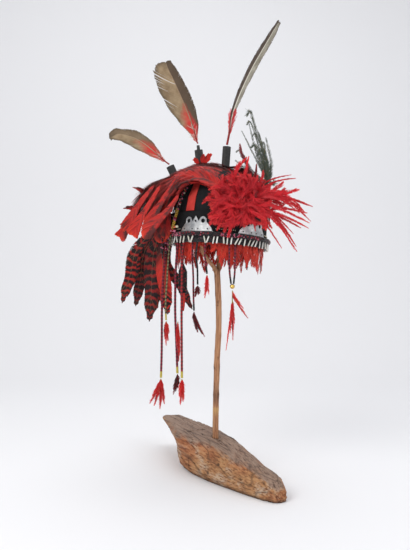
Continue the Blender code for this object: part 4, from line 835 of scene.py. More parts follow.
def makeHerls():
    s = Shader("greenHerl")
    tone, along = s.attributes("tone", "along")
    # painted sheen: the herls turn green where they are seen at a grazing angle
    paintedSheen = s.add("ShaderNodeLayerWeight", {"Blend": 0.35}).outputs["Facing"]
    colour = s.mix(tone, (0.010, 0.014, 0.011), (0.13, 0.16, 0.12))
    colour = s.mix(s.times(paintedSheen, 0.5), colour, (0.060, 0.15, 0.075))
    colour = s.mix(s.times(s.math("LESS_THAN", tone, 0.12), s.span(along, 0.3, 0.6)), colour,
                   (0.16, 0.13, 0.045))
    material = featherFinish(s, colour, 0.4, 0.1)
    plumes = Plumage(21)
    root = domePoint(*herl["root"])
    top = root + Vector(herl["stem"])
    tips = list(herl["tips"])
    for extra in range(herl["extra"]):  # more herls in the dense middle of the plume
        near = herl["tips"][(0, 2, 8, 9)[extra % 4]]
        tips.append([a + plumes.rng.uniform(-b, b) for a, b in zip(near, herl["spread"])])
    for number, tip in enumerate(tips):
        end = root + Vector(tip)
        bend = root.lerp(end, 0.45) + Vector((0.012 if tip[0] > -0.02 else 0.006, 0.0, 0.006))
        bend += Vector((plumes.rng.uniform(-0.005, 0.007), 0, 0))
        knots = [root + Vector((0.002, 0, 0.004)), top, bend, end]
        if number % 3 == 0:
            knots.append(end + Vector((-0.009, -0.002, -0.001)))
        path = smoothPath(knots, 18)
        plumes.feather(path, front, herlStyle, halfWidth=plumes.rng.uniform(0.0018, 0.0046))
    item = plumes.grow("green_herls", material, segments=2, tipWidth=0.4, quillSides=4)
    finishPiece(item, "green_herl", "herl_plume")


def makeDarkFeather():
    plumes = Plumage(22)
    root = domePoint(72, 52, -0.0020)
    path = smoothPath([root, root + Vector((-0.004, -0.004, 0.022)), root + Vector((-0.018, -0.006, 0.052)),
                       Vector((0.046, -0.008, 0.624))], 12)
    style = dict(hackleStyle, halfWidth=0.0055, ragged=0.3, perMetre=1100, barbWidth=0.0010)
    plumes.feather(path, front, style, tint=0.5)
    second = smoothPath([root + Vector((0.002, -0.010, -0.030)), root + Vector((0.006, -0.016, 0.000)),
                         root + Vector((0.009, -0.018, 0.030))], 10)
    plumes.feather(second, Vector((0.2, -1, 0)), dict(style, halfWidth=0.0042), tint=0.9)
    item = plumes.grow("dark_red_feather", wineRed, segments=4, tipWidth=0.25, quillSides=5)
    finishPiece(item, "barred_feather", "dark_feather")


# hanging barred feathers at the left
barred = [  # root angle, knee, tip, full width, brightness, turn of the flat side
    (-93, (-0.150, 0.030, 0.432), (-0.182, 0.034, 0.323), 0.023, 0.62, 0.25),
    (-98, (-0.138, 0.050, 0.428), (-0.158, 0.056, 0.316), 0.024, 0.10, 0.10),
    (-88, (-0.118, 0.012, 0.424), (-0.127, 0.016, 0.289), 0.030, 0.30, 0.0),
    (-108, (-0.113, 0.054, 0.424), (-0.118, 0.060, 0.308), 0.024, 0.12, -0.1),
    (-84, (-0.100, -0.012, 0.412), (-0.090, -0.016, 0.304), 0.026, 1.0, -0.1),
    (-118, (-0.096, 0.062, 0.410), (-0.046, 0.064, 0.309), 0.021, 0.30, 0.0),
]
barredStyle = {"quill": 0.0011, "quillSteps": 16, "perMetre": 1400, "openBase": 44, "openTip": 26, "clump": 1.6,
               "clumps": 3, "scatter": 0.9, "ragged": 0.07, "barbWidth": 0.0015, "tipRound": 1.7, "start": 0.10,
               "twist": 0.12, "fluff": 0.05, "cup": 0.08,
               "outline": [(0, 0.2), (0.14, 0.34), (0.30, 0.72), (0.60, 1.0), (0.78, 0.86), (0.92, 0.40),
                           (1.0, 0.05)]}


def makeBarredFeathers():
    s = Shader("barredVane")
    along, across, tint = s.attributes("along", "across", "tint")
    tone, quill = s.attributes("tone", "quill")
    wave = s.noise(s.objectPoint(), 70.0, 2.0)
    phase = s.plus(s.times(along, 118.0), s.times(wave, 9.0))
    phase = s.plus(phase, s.times(tint, 17.0))
    phase = s.plus(phase, s.times(across, 10.0))
    bars = s.span(s.math("SINE", phase), -0.10, 0.75)
    red = s.mix(tint, (0.20, 0.005, 0.007), (0.72, 0.032, 0.018))
    red = s.mix(s.times(tone, 0.4), red, (0.34, 0.010, 0.010))
    share = s.times(bars, s.span(tint, 0.0, 0.9, 0.75, 1.0))
    colour = s.mix(share, (0.016, 0.005, 0.006), red)
    plain = s.times(s.span(tint, 0.80, 0.95), s.span(along, 0.68, 0.82, 0.9, 0.0))
    colour = s.mix(plain, colour, red)
    colour = s.mix(s.span(along, 0.93, 1.0, 0.0, 0.8), colour, (0.014, 0.004, 0.005))
    top = s.times(s.span(tint, 0.5, 0.9), 0.13)
    colour = s.mix(s.span(s.math("SUBTRACT", along, top), 0.30, 0.42, 0.92, 0.0), colour, (0.010, 0.005, 0.006))
    colour = s.mix(s.times(s.math("GREATER_THAN", tone, 0.93), 0.35), colour, (0.26, 0.16, 0.07))
    colour = s.mix(s.times(quill, 0.75), colour, (0.24, 0.13, 0.075))
    material = featherFinish(s, colour, 0.5, 0.12)
    for number, (angle, knee, tip, width, bright, turn) in enumerate(barred):
        plumes = Plumage(30 + number)
        root = ovalPoint(angle, 0.0025 + 0.0006, 0.044)
        out = (ovalPoint(angle, 0.02, 0.044) - root).normalized()
        knee, tip = Vector(knee), Vector(tip)
        path = smoothPath([root, root + out * 0.012 + Vector((0, 0, -0.004)), knee, knee.lerp(tip, 0.5), tip], 24)
        face = Vector((turn, -1, 0)).normalized()
        plumes.feather(path, face, dict(barredStyle, halfWidth=width / 2), tint=bright)
        if number in (0, 1, 3):
            shift = Vector((plumes.rng.uniform(0.006, 0.010), 0.003, 0.012))
            plumes.feather([p + shift * min(2 * k / 24, 1) for k, p in enumerate(path)], face,
                           dict(barredStyle, halfWidth=width / 2 * 0.7), tint=bright * 0.6)
        item = plumes.grow(f"barred_vane_{number + 1}", material, segments=3, tipWidth=0.5, quillSides=5)
        finishPiece(item, "barred_feather", f"barred_feather_{number + 1}")


makeUprights()
makeHerls()
makeDarkFeather()
makeBarredFeathers()
print("single feathers made")


# cords: braided tubes that follow their routes; outside the roll, or from under the band
strandKeys = ("diameter", "angle", "outside", "first", "second", "route")  # angle on the band, in degrees
strands = {name: dict(zip(strandKeys, row)) for name, row in {
    "long_left": (0.0044, -79.5, True, "wine", "black", (
        (-0.0950, -0.0190, 0.4050), (-0.0985, -0.0235, 0.3600), (-0.1002, -0.0245, 0.3100),
        (-0.1004, -0.0250, 0.2650), (-0.1008, -0.0250, 0.2250), (-0.1020, -0.0250, 0.1860))),
    "short_left": (0.0034, -68.5, True, "mixed", "black", (
        (-0.0875, -0.0400, 0.4050), (-0.0900, -0.0400, 0.3650), (-0.0925, -0.0395, 0.3250),
        (-0.0915, -0.0395, 0.2940))),
    "centre_left": (0.0044, -60.0, False, "wine", "black", (
        (-0.0715, -0.0530, 0.4120), (-0.0735, -0.0550, 0.3700), (-0.0740, -0.0560, 0.3100),
        (-0.0718, -0.0560, 0.2500), (-0.0700, -0.0560, 0.1990))),
    "centre_right": (0.0044, -47.0, False, "red", "black", (
        (-0.0610, -0.0680, 0.4120), (-0.0615, -0.0685, 0.3700), (-0.0620, -0.0680, 0.3100),
        (-0.0618, -0.0670, 0.2500), (-0.0615, -0.0660, 0.1920))),
    "front_left": (0.0034, -34.0, False, "black", "wine", (
        (-0.0425, -0.0820, 0.4120), (-0.0408, -0.0830, 0.3750), (-0.0406, -0.0830, 0.3450),
        (-0.0395, -0.0830, 0.3140))),
    "front_middle": (0.0034, -27.0, False, "black", "black", (
        (-0.0360, -0.0880, 0.4120), (-0.0335, -0.0885, 0.3900), (-0.0330, -0.0885, 0.3600))),
    "front_right": (0.0034, -17.0, False, "black", "wine", (
        (-0.0205, -0.0940, 0.4150), (-0.0185, -0.0940, 0.3980), (-0.0165, -0.0940, 0.3790))),
    "bell_left": (0.0034, 10.0, False, "black", "wine", (
        (0.0225, -0.0965, 0.4120), (0.0228, -0.0965, 0.3850), (0.0255, -0.0965, 0.3615))),
    "bell_right": (0.0034, 17.0, False, "black", "wine", (
        (0.0325, -0.0950, 0.4120), (0.0322, -0.0955, 0.3850), (0.0300, -0.0965, 0.3615))),
}.items()}
yarnColours = {"wine": (0.34, 0.016, 0.045), "black": (0.010, 0.008, 0.009), "red": (0.42, 0.014, 0.020),
               "gold": (0.50, 0.40, 0.060), "mixed": (0.30, 0.26, 0.12)}
cordLook = {"sides": 12, "step": 0.0012, "pitch": 0.0130, "relief": 0.16, "endWrap": 0.012}
edgeRoll = {"radius": 0.0037, "middle": 0.0077, "bead": 0.00125, "columns": 200, "rows": 7, "inset": 0.0009,
            "packed": 0.88}
edgeOutward = 2 * head["gap"] + head["bandWall"] + edgeRoll["radius"]
rollFace = edgeOutward + edgeRoll["radius"] * math.cos(math.radians(30))
underBand = {"outward": head["gap"] + head["bandWall"] / 2, "height": -0.0006}


def strandPath(row):
    if row["outside"]:
        start = ovalPoint(row["angle"], rollFace + head["gap"] + row["diameter"] / 2,
                          0.0120 - edgeRoll["radius"] * 1.5)
    else:
        start = ovalPoint(row["angle"], underBand["outward"], underBand["height"])
    knots = [start] + [Vector(p) for p in row["route"]]
    return smoothPath(knots, int(pathLength(knots) / cordLook["step"]) + 2)


def strandFrames(path):
    side = Vector((1, 0, 0))
    frames = []
    for i in range(len(path)):
        heading = (path[min(i + 1, len(path) - 1)] - path[max(i - 1, 0)]).normalized()
        side = (side - side.dot(heading) * heading).normalized()
        frames.append((side, heading.cross(side)))
    return frames


def strandMesh(name, path, diameter, material):
    frames = strandFrames(path)
    sides = cordLook["sides"]
    verts, faces, turned, lengths = [], [], [], []
    run = 0.0
    for i, point in enumerate(path):
        run += (point - path[i - 1]).length if i else 0.0
        u, w = frames[i]
        slide = run / cordLook["pitch"] * fullTurn
        for turn in turns(sides):
            braid = math.cos(2 * turn + slide) * math.cos(2 * turn - slide)
            radius = diameter / 2 * (1 - cordLook["relief"] * (0.5 - 0.5 * braid))
            verts.append(point + radius * (math.cos(turn) * u + math.sin(turn) * w))
            turned.append(turn)
            lengths.append(run)
    for i in range(len(path) - 1):
        for k in range(sides):
            a, b = i * sides + k, i * sides + (k + 1) % sides
            faces.append((a, b, b + sides, a + sides))
    faces.append(tuple(range(sides))[::-1])
    faces.append(tuple(range(len(verts) - sides, len(verts))))
    item = meshObject(name, verts, faces, material)
    for key, rows in (("turn", turned), ("run", lengths)):
        item.data.attributes.new(key, "FLOAT", "POINT").data.foreach_set("value", rows)
    return item, run


def strandMaterial(name, first, second, length):
    s = Shader(name)
    turn, run = s.attributes("turn", "run")
    spin = s.times(turn, 2.0)
    slide = s.times(run, fullTurn / cordLook["pitch"])
    check = s.times(s.math("SINE", s.plus(spin, slide)), s.math("SINE", s.math("SUBTRACT", spin, slide)))
    share = s.span(check, -0.12, 0.12)
    fibre = s.noise(s.objectPoint(), 2600.0, 2.0)
    colour = s.mix(share, yarnColours[first], yarnColours[second])
    colour = s.mix(s.times(fibre, 0.35), colour, tuple(c * 0.4 for c in yarnColours[first]))
    wrap = s.math("GREATER_THAN", run, length - cordLook["endWrap"])
    colour = s.mix(wrap, colour, yarnColours["gold" if second == "black" and first != "black" else "black"])
    s.bump(s.plus(fibre, s.times(check, 0.5)), 0.5, 0.0005)
    return s.set(Base_Color=colour, Roughness=0.8)


tassels = {
    "long_left": {"locks": [(-0.020, 0.000, -0.046), (-0.012, -0.004, -0.049), (-0.002, 0.002, -0.056),
                            (0.006, -0.002, -0.046)], "look": "red", "width": 0.0042},
    "short_left": {"locks": [(0.000, 0.0, -0.044), (0.003, 0.002, -0.036)], "look": "red", "width": 0.0036},
    "centre_left": {"locks": [(-0.007, 0.0, -0.036), (-0.003, -0.002, -0.030), (0.001, 0.002, -0.026)], "look": "wine",
                    "width": 0.0034},
    "centre_right": {"locks": [(-0.003, 0.0, -0.046), (0.002, -0.002, -0.040), (-0.001, 0.003, -0.034)], "look": "red",
                     "width": 0.0040},
    "front_left": {"locks": [(0.018, 0.0, -0.044), (0.006, -0.002, -0.036), (0.010, 0.002, -0.030)], "look": "wine",
                   "width": 0.0036},
    "front_middle": {"locks": [(-0.004, 0.0, -0.020), (0.001, -0.002, -0.016)], "look": "wine", "width": 0.0034},
    "front_right": {"locks": [(-0.004, 0.0, -0.040), (0.003, -0.002, -0.034), (0.000, 0.002, -0.028)], "look": "red",
                    "width": 0.0034},
    "bell": {"locks": [(0.026, -0.004, -0.048), (-0.006, -0.003, -0.104), (0.006, -0.001, -0.086)], "look": "red",
             "width": 0.0042},
}
tasselStyle = {"quill": 0.0008, "perMetre": 2200, "openBase": 24, "openTip": 12, "clump": 5, "clumps": 3, "scatter": 6,
               "ragged": 0.55, "barbWidth": 0.0006, "start": 0.03, "twist": 0.8, "fluff": 0.35, "hook": 0.05,
               "outline": [(0, 0.45), (0.25, 1.0), (0.7, 0.9), (1.0, 0.4)]}


def makeTassel(name, top, row, *nodes):
    plumes = Plumage(60 + len(name))
    rng = plumes.rng
    slim = 1.0 if name != "bell" else 0.62
    for lock in row["locks"]:
        for extra in range(3):
            reach = Vector(lock) * (1.0 if extra == 0 else rng.uniform(0.62, 0.92))
            spread = Vector((rng.uniform(-0.0012, 0.0012), rng.uniform(-0.0012, 0.0012), 0)) * (extra > 0)
            hangs = name == "bell" and lock[2] < -0.06
            if hangs and extra == 0:  # this one leans out; both start lower, on a thread of their own
                reach = Vector((reach.x - 0.005, reach.y, reach.z))
            way = [top + Vector((0, 0, -0.0012)),
                   top + Vector((reach.x * 0.10, reach.y * 0.10, reach.z * 0.25)) + spread,
                   top + Vector((reach.x * 0.5, reach.y * 0.5, reach.z * 0.62)) + spread * 2,
                   top + reach + spread * 2]
            style = dict(tasselStyle, start=0.42, quill=0.0006) if hangs else tasselStyle
            plumes.feather(smoothPath(way, 10), Vector((rng.uniform(-0.5, 0.5), -1, 0)).normalized(), style,
                           halfWidth=row["width"] * slim * rng.uniform(0.7, 1.0))
    material, slotName = (tasselRed, "scarlet_feather") if row["look"] == "red" else (wineRed, "barred_feather")
    item = plumes.grow("tuft_" + name, material, segments=3, tipWidth=0.3, quillSides=4)
    return finishPiece(item, slotName, *nodes)


def makeStrands():
    ends = {}
    for name, row in strands.items():
        path = strandPath(row)
        material = strandMaterial("yarn_" + name, row["first"], row["second"], pathLength(path))
        item, run = strandMesh("cord_" + name, path, row["diameter"], material)
        finishPiece(item, "braid", "strand_" + name)
        ends[name] = (item, path, run)
    tufts = {}
    for name in tassels:
        if name in ends:
            top = ends[name][1][-1] + Vector((0, 0, -0.0006))
            tufts[name] = makeTassel(name, top, tassels[name], "tassel_" + name)
    bell = (ends["bell_left"][1][-1] + ends["bell_right"][1][-1]) / 2 + Vector((0, 0, -0.0054))
    tufts["bell"] = makeTassel("bell", bell + Vector((0, 0, -0.0050)), tassels["bell"], "tassel_bell")
    for name, (item, path, run) in ends.items():
        on = [tufts[name]] if name in tufts else []
        if name == "bell_left":
            on.append(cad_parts["bell"])
        print(f"cord {name}: {run:.3f} m")


def makeCentreTuft():
    plumes = Plumage(77)
    top = Vector((-0.0690, -0.0612, 0.293))
    for dx, size in ((0.0, 0.048), (0.001, 0.070), (0.002, 0.060), (-0.001, 0.040)):
        path = smoothPath([top, top + Vector((dx, 0, -size * 0.5)), top + Vector((dx * 1.5, 0, -size))], 8)
        plumes.feather(path, front, tasselStyle, halfWidth=0.0030)
    item = plumes.grow("tuft_middle", tasselRed, segments=3, tipWidth=0.3, quillSides=4)
    finishPiece(item, "scarlet_feather", "tuft_centre")


makeStrands()
makeCentreTuft()
print("cords and tassels made")


# beads and bone tubes: one tree of Geometry Nodes sets one small shape on every marked point
def makeBeadTree():
    t = Tree("beadTree", (("Tubes", "Bool", False), ("Sides", "Int", 10)))
    parts = t.split("isBead")
    ball = t.add("GeometryNodeMeshUVSphere", {"Segments": t.given["Sides"], "Rings": 7, "Radius": 1.0})
    rod = t.add("GeometryNodeMeshCylinder", {"Vertices": t.given["Sides"], "Radius": 1.0, "Depth": 2.0,
                                             "Side Segments": 3})
    kind = t.add("GeometryNodeSwitch", {"Switch": t.given["Tubes"], "False": ball, "True": rod},
                 input_type="GEOMETRY")
    turn = t.add("FunctionNodeAlignRotationToVector", {"Vector": t.named("aim", "FLOAT_VECTOR")}, axis="Z")
    beads = t.add("GeometryNodeInstanceOnPoints", {
        "Points": parts["Selection"], "Instance": kind.outputs["Output"], "Rotation": turn,
        "Scale": t.named("size", "FLOAT_VECTOR")})
    return t.finished(beads, parts["Inverted"])


beadTree = makeBeadTree()


class Beadwork:  # gathers the places of beads, with the plain cloth or thread behind them
    def __init__(self, seed):
        self.rng = random.Random(seed)
        self.points, self.aim, self.size, self.tint = [], [], [], []
        self.backVerts, self.backFaces = [], []

    def bead(self, point, aim, radius, half, tint):
        self.points.append(point)
        self.aim.append(aim)
        self.size.append(Vector((radius, radius, half)))
        self.tint.append(tint)

    def along(self, path, radius, pitch, tints, squash=0.8):
        count = max(int(pathLength(path) / pitch), 1)
        for i in range(count + 1):
            share = i / count
            self.bead(pathAt(path, share), pathHeading(path, share), radius * self.rng.uniform(0.92, 1.06),
                      radius * squash, tints[i % len(tints)] if isinstance(tints, list) else tints(share))

    def back(self, rings, closed=False):
        base, wide = len(self.backVerts), len(rings[0])
        for ring in rings:
            self.backVerts += ring
        rows = len(rings) if closed else len(rings) - 1
        for i in range(rows):
            for k in range(wide):
                a, b = i * wide + k, i * wide + (k + 1) % wide
                c, d = (i + 1) % len(rings) * wide + (k + 1) % wide, (i + 1) % len(rings) * wide + k
                self.backFaces.append(tuple(base + n for n in (a, b, c, d)))
        if not closed:
            self.backFaces.append(tuple(base + k for k in range(wide))[::-1])
            self.backFaces.append(tuple(base + (len(rings) - 1) * wide + k for k in range(wide)))

    def thread(self, path, radius=0.0004):
        section = [Vector((radius * math.cos(a), radius * math.sin(a), 0)) for a in (0, 2.1, 4.2)]
        self.back([[p + corner for corner in section] for p in path])

    def grow(self, name, material, tubes=False, sides=10):
        plain, zero = len(self.backVerts), Vector((0, 0, 0))
        rows = {"isBead": [False] * plain + [True] * len(self.points), "tint": [-1.0] * plain + self.tint,
                "aim": [zero] * plain + self.aim, "size": [zero] * plain + self.size}
        return growTree(name, beadTree, self.backVerts + self.points, [], self.backFaces, rows,
                        {"Tubes": tubes, "Sides": sides, "Material": material})


# tints of beads; below 0 is the thread or cloth behind them
beadTint = {"black": 0.07, "wine": 0.21, "red": 0.35, "pink": 0.49, "gold": 0.63, "cream": 0.77, "orange": 0.91}


def beadMaterial():
    s = Shader("glassBeads")
    tint = s.attribute("tint")
    colour = s.mix(s.math("GREATER_THAN", tint, 0.14), (0.006, 0.005, 0.007), (0.085, 0.004, 0.014))
    for low, shade in ((0.28, (0.44, 0.012, 0.026)), (0.42, (0.68, 0.15, 0.25)), (0.56, (0.60, 0.36, 0.04)),
                       (0.70, (0.78, 0.72, 0.52)), (0.84, (0.76, 0.13, 0.03))):
        colour = s.mix(s.math("GREATER_THAN", tint, low), colour, shade)
    speck = s.noise(s.objectPoint(), 900.0, 2.0)
    colour = s.mix(s.times(speck, 0.25), colour, (0.0, 0.0, 0.0))
    thread = s.math("LESS_THAN", tint, 0.0)
    colour = s.mix(thread, colour, (0.008, 0.007, 0.008))
    s.bump(speck, 0.12, 0.0003)
    s.surface.inputs["Coat Weight"].default_value = 0.5
    s.surface.inputs["Coat Roughness"].default_value = 0.08
    return s.set(Base_Color=colour, Roughness=s.span(thread, 0.0, 1.0, 0.18, 0.9))


beadGlass = beadMaterial()


# the beaded roll, the black netting behind the tubes, and the row of cream dots between plates
netting = {"columns": 170, "rows": 4, "out": -0.0022, "top": 0.0015, "pitch": 0.0026, "bead": (0.0012, 0.0010),
           "blackShare": 0.88,
           "section": ((-0.0030, 0.0044), (-0.0022, 0.0044), (-0.0026, -0.0075), (-0.0034, -0.0075))}
creamDots = {"centres": (5, 77, 149, 221, 293), "count": 11, "step": 2.2, "out": 0.0032, "height": 0.0168,
             "bead": (0.00105, 0.0008)}


def edgeAhead(angle):
    return (ovalPoint(angle + 1, edgeOutward, 0.0) - ovalPoint(angle, edgeOutward, 0.0)).normalized()


def makeBeadedEdge():
    work = Beadwork(5)
    rng = work.rng
    core = edgeRoll["radius"] - edgeRoll["inset"]
    for section in ([(core * math.cos(a), edgeRoll["middle"] + core * math.sin(a)) for a in turns(8)],
                    netting["section"]):
        work.back([[ovalPoint(360 * i / 72, edgeOutward + out, height) for out, height in section]
                   for i in range(72)], closed=True)
    for i in range(edgeRoll["columns"]):
        patch = math.sin(i * 0.31) + math.sin(i * 0.117 + 1.0)
        for row in range(edgeRoll["rows"]):
            a = math.radians(-95 + 190 * row / (edgeRoll["rows"] - 1))
            angle = 360 * (i + 0.5 * (row % 2)) / edgeRoll["columns"]
            point = ovalPoint(angle, edgeOutward + edgeRoll["radius"] * edgeRoll["packed"] * math.cos(a),
                              edgeRoll["middle"] + edgeRoll["radius"] * edgeRoll["packed"] * math.sin(a))
            roll = rng.random() + 0.16 * patch
            tint = "black" if roll < 0.50 or row > 4 else "wine" if roll < 0.78 else "red" if roll < 0.90 else "pink"
            work.bead(point, edgeAhead(angle), edgeRoll["bead"], edgeRoll["bead"] * 0.8, beadTint[tint])
    for i in range(netting["columns"]):
        for row in range(netting["rows"]):
            angle = 360 * (i + 0.5 * (row % 2)) / netting["columns"]
            tint = "black" if rng.random() < netting["blackShare"] else "wine"
            point = ovalPoint(angle, edgeOutward + netting["out"], netting["top"] - netting["pitch"] * row)
            work.bead(point, edgeAhead(angle), *netting["bead"], beadTint[tint])
    for centre in creamDots["centres"]:
        for k in range(creamDots["count"]):
            angle = centre + creamDots["step"] * (k - creamDots["count"] // 2)
            work.bead(ovalPoint(angle, creamDots["out"], creamDots["height"]), Vector((1, 0, 0)), *creamDots["bead"],
                      beadTint["cream"])
    item = work.grow("seed_bead_edge", beadGlass, sides=7)
    return finishPiece(item, "beads", "beaded_edge")


# bone tubes: angle of the top and of the foot, in degrees, at the front; even ones further round
frontTubes = [(-49.6, -50.6), (-44.1, -45.4), (-38.4, -35.6), (-31.8, -34.6), (-18.6, -16.4), (-12.9, -15.4),
              (-7.2, -8.2), (-3.4, -4.2), (3.0, 3.8), (7.4, 7.2), (12.0, 11.4), (19.6, 15.6), (23.4, 19.8),
              (28.0, 27.0), (35.0, 32.0), (40.6, 36.4), (45.2, 42.0), (50.8, 50.2)]
tubeShape = {"length": 0.0125, "radius": 0.00125, "top": 0.0034, "thread": 0.0006}


def boneMaterial():
    s = Shader("bone")
    tint = s.attribute("tint")
    grain = s.noise(s.objectPoint((1, 1, 0.25)), 700.0, 3.0)
    colour = s.mix(tint, (0.62, 0.59, 0.50), (0.86, 0.85, 0.80))
    colour = s.mix(s.span(grain, 0.58, 0.75, 0.0, 0.55), colour, (0.34, 0.28, 0.19))
    colour = s.mix(s.math("LESS_THAN", tint, 0.0), colour, (0.010, 0.010, 0.010))
    s.bump(grain, 0.2, 0.0003)
    return s.set(Base_Color=colour, Roughness=0.32)


def makeBoneTubes():
    work = Beadwork(6)
    rng = work.rng
    places = list(frontTubes)
    angle = 57.0
    while angle < 304:
        lean = rng.choice((0.0, 0.0, 1.6, -1.6, 0.5))
        places.append((angle + lean, angle - lean))
        angle += rng.uniform(5.6, 7.6)
    for top, foot in places:
        high = ovalPoint(top, edgeOutward, tubeShape["top"])
        low = ovalPoint(foot, edgeOutward, tubeShape["top"] - tubeShape["length"])
        low = high + (low - high).normalized() * tubeShape["length"] * rng.uniform(0.92, 1.04)
        work.bead((high + low) / 2, (low - high).normalized(), tubeShape["radius"] * rng.uniform(0.85, 1.15),
                  (low - high).length / 2, rng.random())
    rings = []
    for i in range(96):
        turn = 360 * i / 96
        rings.append([ovalPoint(turn, edgeOutward + tubeShape["thread"] * math.cos(a),
                                tubeShape["top"] - tubeShape["thread"] + tubeShape["thread"] * math.sin(a))
                      for a in turns(5)])
    work.back(rings, closed=True)
    item = work.grow("bone_tubes", boneMaterial(), tubes=True, sides=10)
    return finishPiece(item, "bone", "bone_tube_row")


# strings of beads at the left of the arch
def makeBeadStrings():
    def cascade(share, rng=random.Random(8)):
        return beadTint[rng.choice(("black", "black", "wine", "wine", "red", "pink"))]

    work = Beadwork(7)
    for angle, high, low, away in ((-76.8, 0.036, -0.010, 0), (-75.0, 0.034, -0.019, 0), (-73.2, 0.031, -0.021, 0),
                                   (-71.6, 0.028, -0.014, 0), (-78.4, 0.030, -0.008, 0), (-79.0, 0.036, -0.030, 0.004),
                                   (-80.0, 0.034, -0.036, 0.008), (-78.0, 0.032, -0.026, 0.0115)):
        path = [ovalPoint(angle + 1.0 * math.sin(5 * i / 11 + angle),
                          rollFace + 0.0022 + 0.0006 * math.sin(angle * 3 + i) + away * min(i / 4, 1),
                          high + (low - high) * i / 11) for i in range(12)]
        work.along(path, 0.00185, 0.0031, cascade, 0.85)
        work.thread(path)
    finishPiece(work.grow("bead_cascade_strings", beadGlass, sides=10), "beads", "bead_cascade")

    work = Beadwork(9)
    lift = 0.0026
    knots = [domePoint(-54, 44, lift), domePoint(-58, 26, lift), domePoint(-60, 8, lift + 0.0025),
             ovalPoint(-61, edgeOutward + 0.0020, 0.038), ovalPoint(-61.5, rollFace + 0.0028, 0.016)]
    for shift, tints, radius in ((0.0, ["black", "pink", "black", "red", "cream", "wine"], 0.0020),
                                 (2.6, ["red", "black", "wine", "orange", "black", "pink"], 0.0018)):
        path = [p + Vector((-0.001 * shift, 0, 0)) for p in smoothPath(knots, 20)]
        upper, lower = path[:12], path[11:]
        work.along(upper, radius, radius * 1.7, [beadTint[t] for t in tints], 0.8)
        work.along(lower, radius, radius * 1.7, [beadTint[t] for t in (["gold"] * 5 + ["red", "pink"])], 0.8)
        work.thread(path)
    for angle, height, tint in ((-63.5, 0.0190, "cream"), (-57.6, 0.0195, "orange"), (-53.6, 0.0200, "cream"),
                                (-65.5, 0.0140, "pink"), (-61.5, 0.0130, "red"), (-58.0, 0.0125, "pink")):
        work.bead(ovalPoint(angle, rollFace + 0.0026, height), Vector((0, 0, 1)), 0.0029, 0.0024, beadTint[tint])
    finishPiece(work.grow("bead_strings", beadGlass, sides=12), "beads", "bead_string")


# the woven tab of beads and its ribbon
tab = {"angle": -54.0, "x": -0.0600, "y": -0.0612, "foot": 0.345, "half": 0.0080, "pitch": 0.0021, "cloth": 0.0004,
       "bead": 0.00095}


def makeTab():
    work = Beadwork(10)
    rng = work.rng
    top = ovalPoint(tab["angle"], underBand["outward"], underBand["height"])
    low = Vector((tab["x"], tab["y"], tab["foot"]))
    tall = top.z - low.z
    shares, halves = (0.0, 0.45, 0.62, 0.82, 1.0), (0.22, 0.30, 1.0, 1.0, 0.96)

    def middleAt(share):
        return Vector((top.x + (low.x - top.x) * min(share * 1.6, 1.0), top.y + (low.y - top.y) * share,
                       top.z - tall * share))

    rings = []
    for share, wide in zip(shares, halves):
        half, cloth = tab["half"] * wide * 0.94, tab["cloth"]
        rings.append([middleAt(share) + Vector(corner) for corner in (
            (-half, -cloth, 0), (half, -cloth, 0), (half, cloth, 0), (-half, cloth, 0))])
    work.back(rings)
    rows = int(tall / tab["pitch"])
    for row in range(rows + 1):
        share = row / rows
        wide = curveShare(list(zip(shares, halves)), share)
        middle = middleAt(share)
        half = tab["half"] * wide - 0.0009
        across = max(int(2 * half / tab["pitch"]), 1)
        for k in range(across + 1):
            x = -half + 2 * half * k / across
            motif = (row // 3 + k // 2) % 3
            tint = "black" if motif == 0 or rng.random() < 0.3 else rng.choice(("wine", "wine", "red", "black"))
            for face in (-1, 1):
                work.bead(middle + Vector((x, face * 0.0007, 0)), Vector((1, 0, 0)), tab["bead"], tab["bead"],
                          beadTint[tint])
    finishPiece(work.grow("woven_bead_tab", beadGlass, sides=8), "beads", "beaded_tab")


makeBeadedEdge()
makeBoneTubes()
makeBeadStrings()
makeTab()
print("beads and tubes made")


# cloth, metal and tubes of the CAD keep their own shapes and get their materials here
def feltMaterial(name, colour, worn):
    s = Shader(name)
    place = s.objectPoint()
    fibre = s.noise(place, 1400.0, 4.0)
    soft = s.noise(place, 45.0, 3.0)
    shade = s.mix(s.span(soft, 0.35, 0.7, 0.0, 0.6), colour, worn)
    shade = s.mix(s.span(fibre, 0.45, 0.75, 0.0, 0.35), shade, tuple(min(c * 2.2 + 0.01, 1) for c in colour))
    s.bump(s.plus(fibre, s.times(soft, 2.0)), 0.35, 0.0008)
    s.surface.inputs["Specular IOR Level"].default_value = 0.2
    return s.set(Base_Color=shade, Roughness=0.95)


def silverMaterial():
    s = Shader("agedSilver")
    place = s.objectPoint()
    cloud = s.noise(place, 60.0, 4.0)
    scratch = s.noise(s.objectPoint((1, 1, 9)), 300.0, 3.0)
    dent = s.noise(place, 140.0, 2.0)
    colour = s.mix(s.span(cloud, 0.35, 0.68), (0.86, 0.86, 0.85), (0.30, 0.31, 0.33))
    colour = s.mix(s.span(scratch, 0.60, 0.75, 0.0, 0.4), colour, (0.14, 0.14, 0.15))
    s.bump(s.plus(dent, s.times(scratch, 0.3)), 0.5, 0.0012)
    return s.set(Base_Color=colour, Metallic=0.88, Roughness=s.span(cloud, 0.3, 0.7, 0.24, 0.46))


def tubeMaterial():
    s = Shader("blackHide")
    place = s.objectPoint()
    grain = s.noise(place, 420.0, 4.0)
    wrap = s.noise(s.objectPoint((1, 1, 8)), 130.0, 2.0)
    colour = s.mix(s.span(grain, 0.4, 0.75, 0.0, 0.7), (0.008, 0.008, 0.008), (0.040, 0.040, 0.038))
    s.bump(s.plus(grain, wrap), 0.4, 0.0008)
    return s.set(Base_Color=colour, Roughness=0.55)


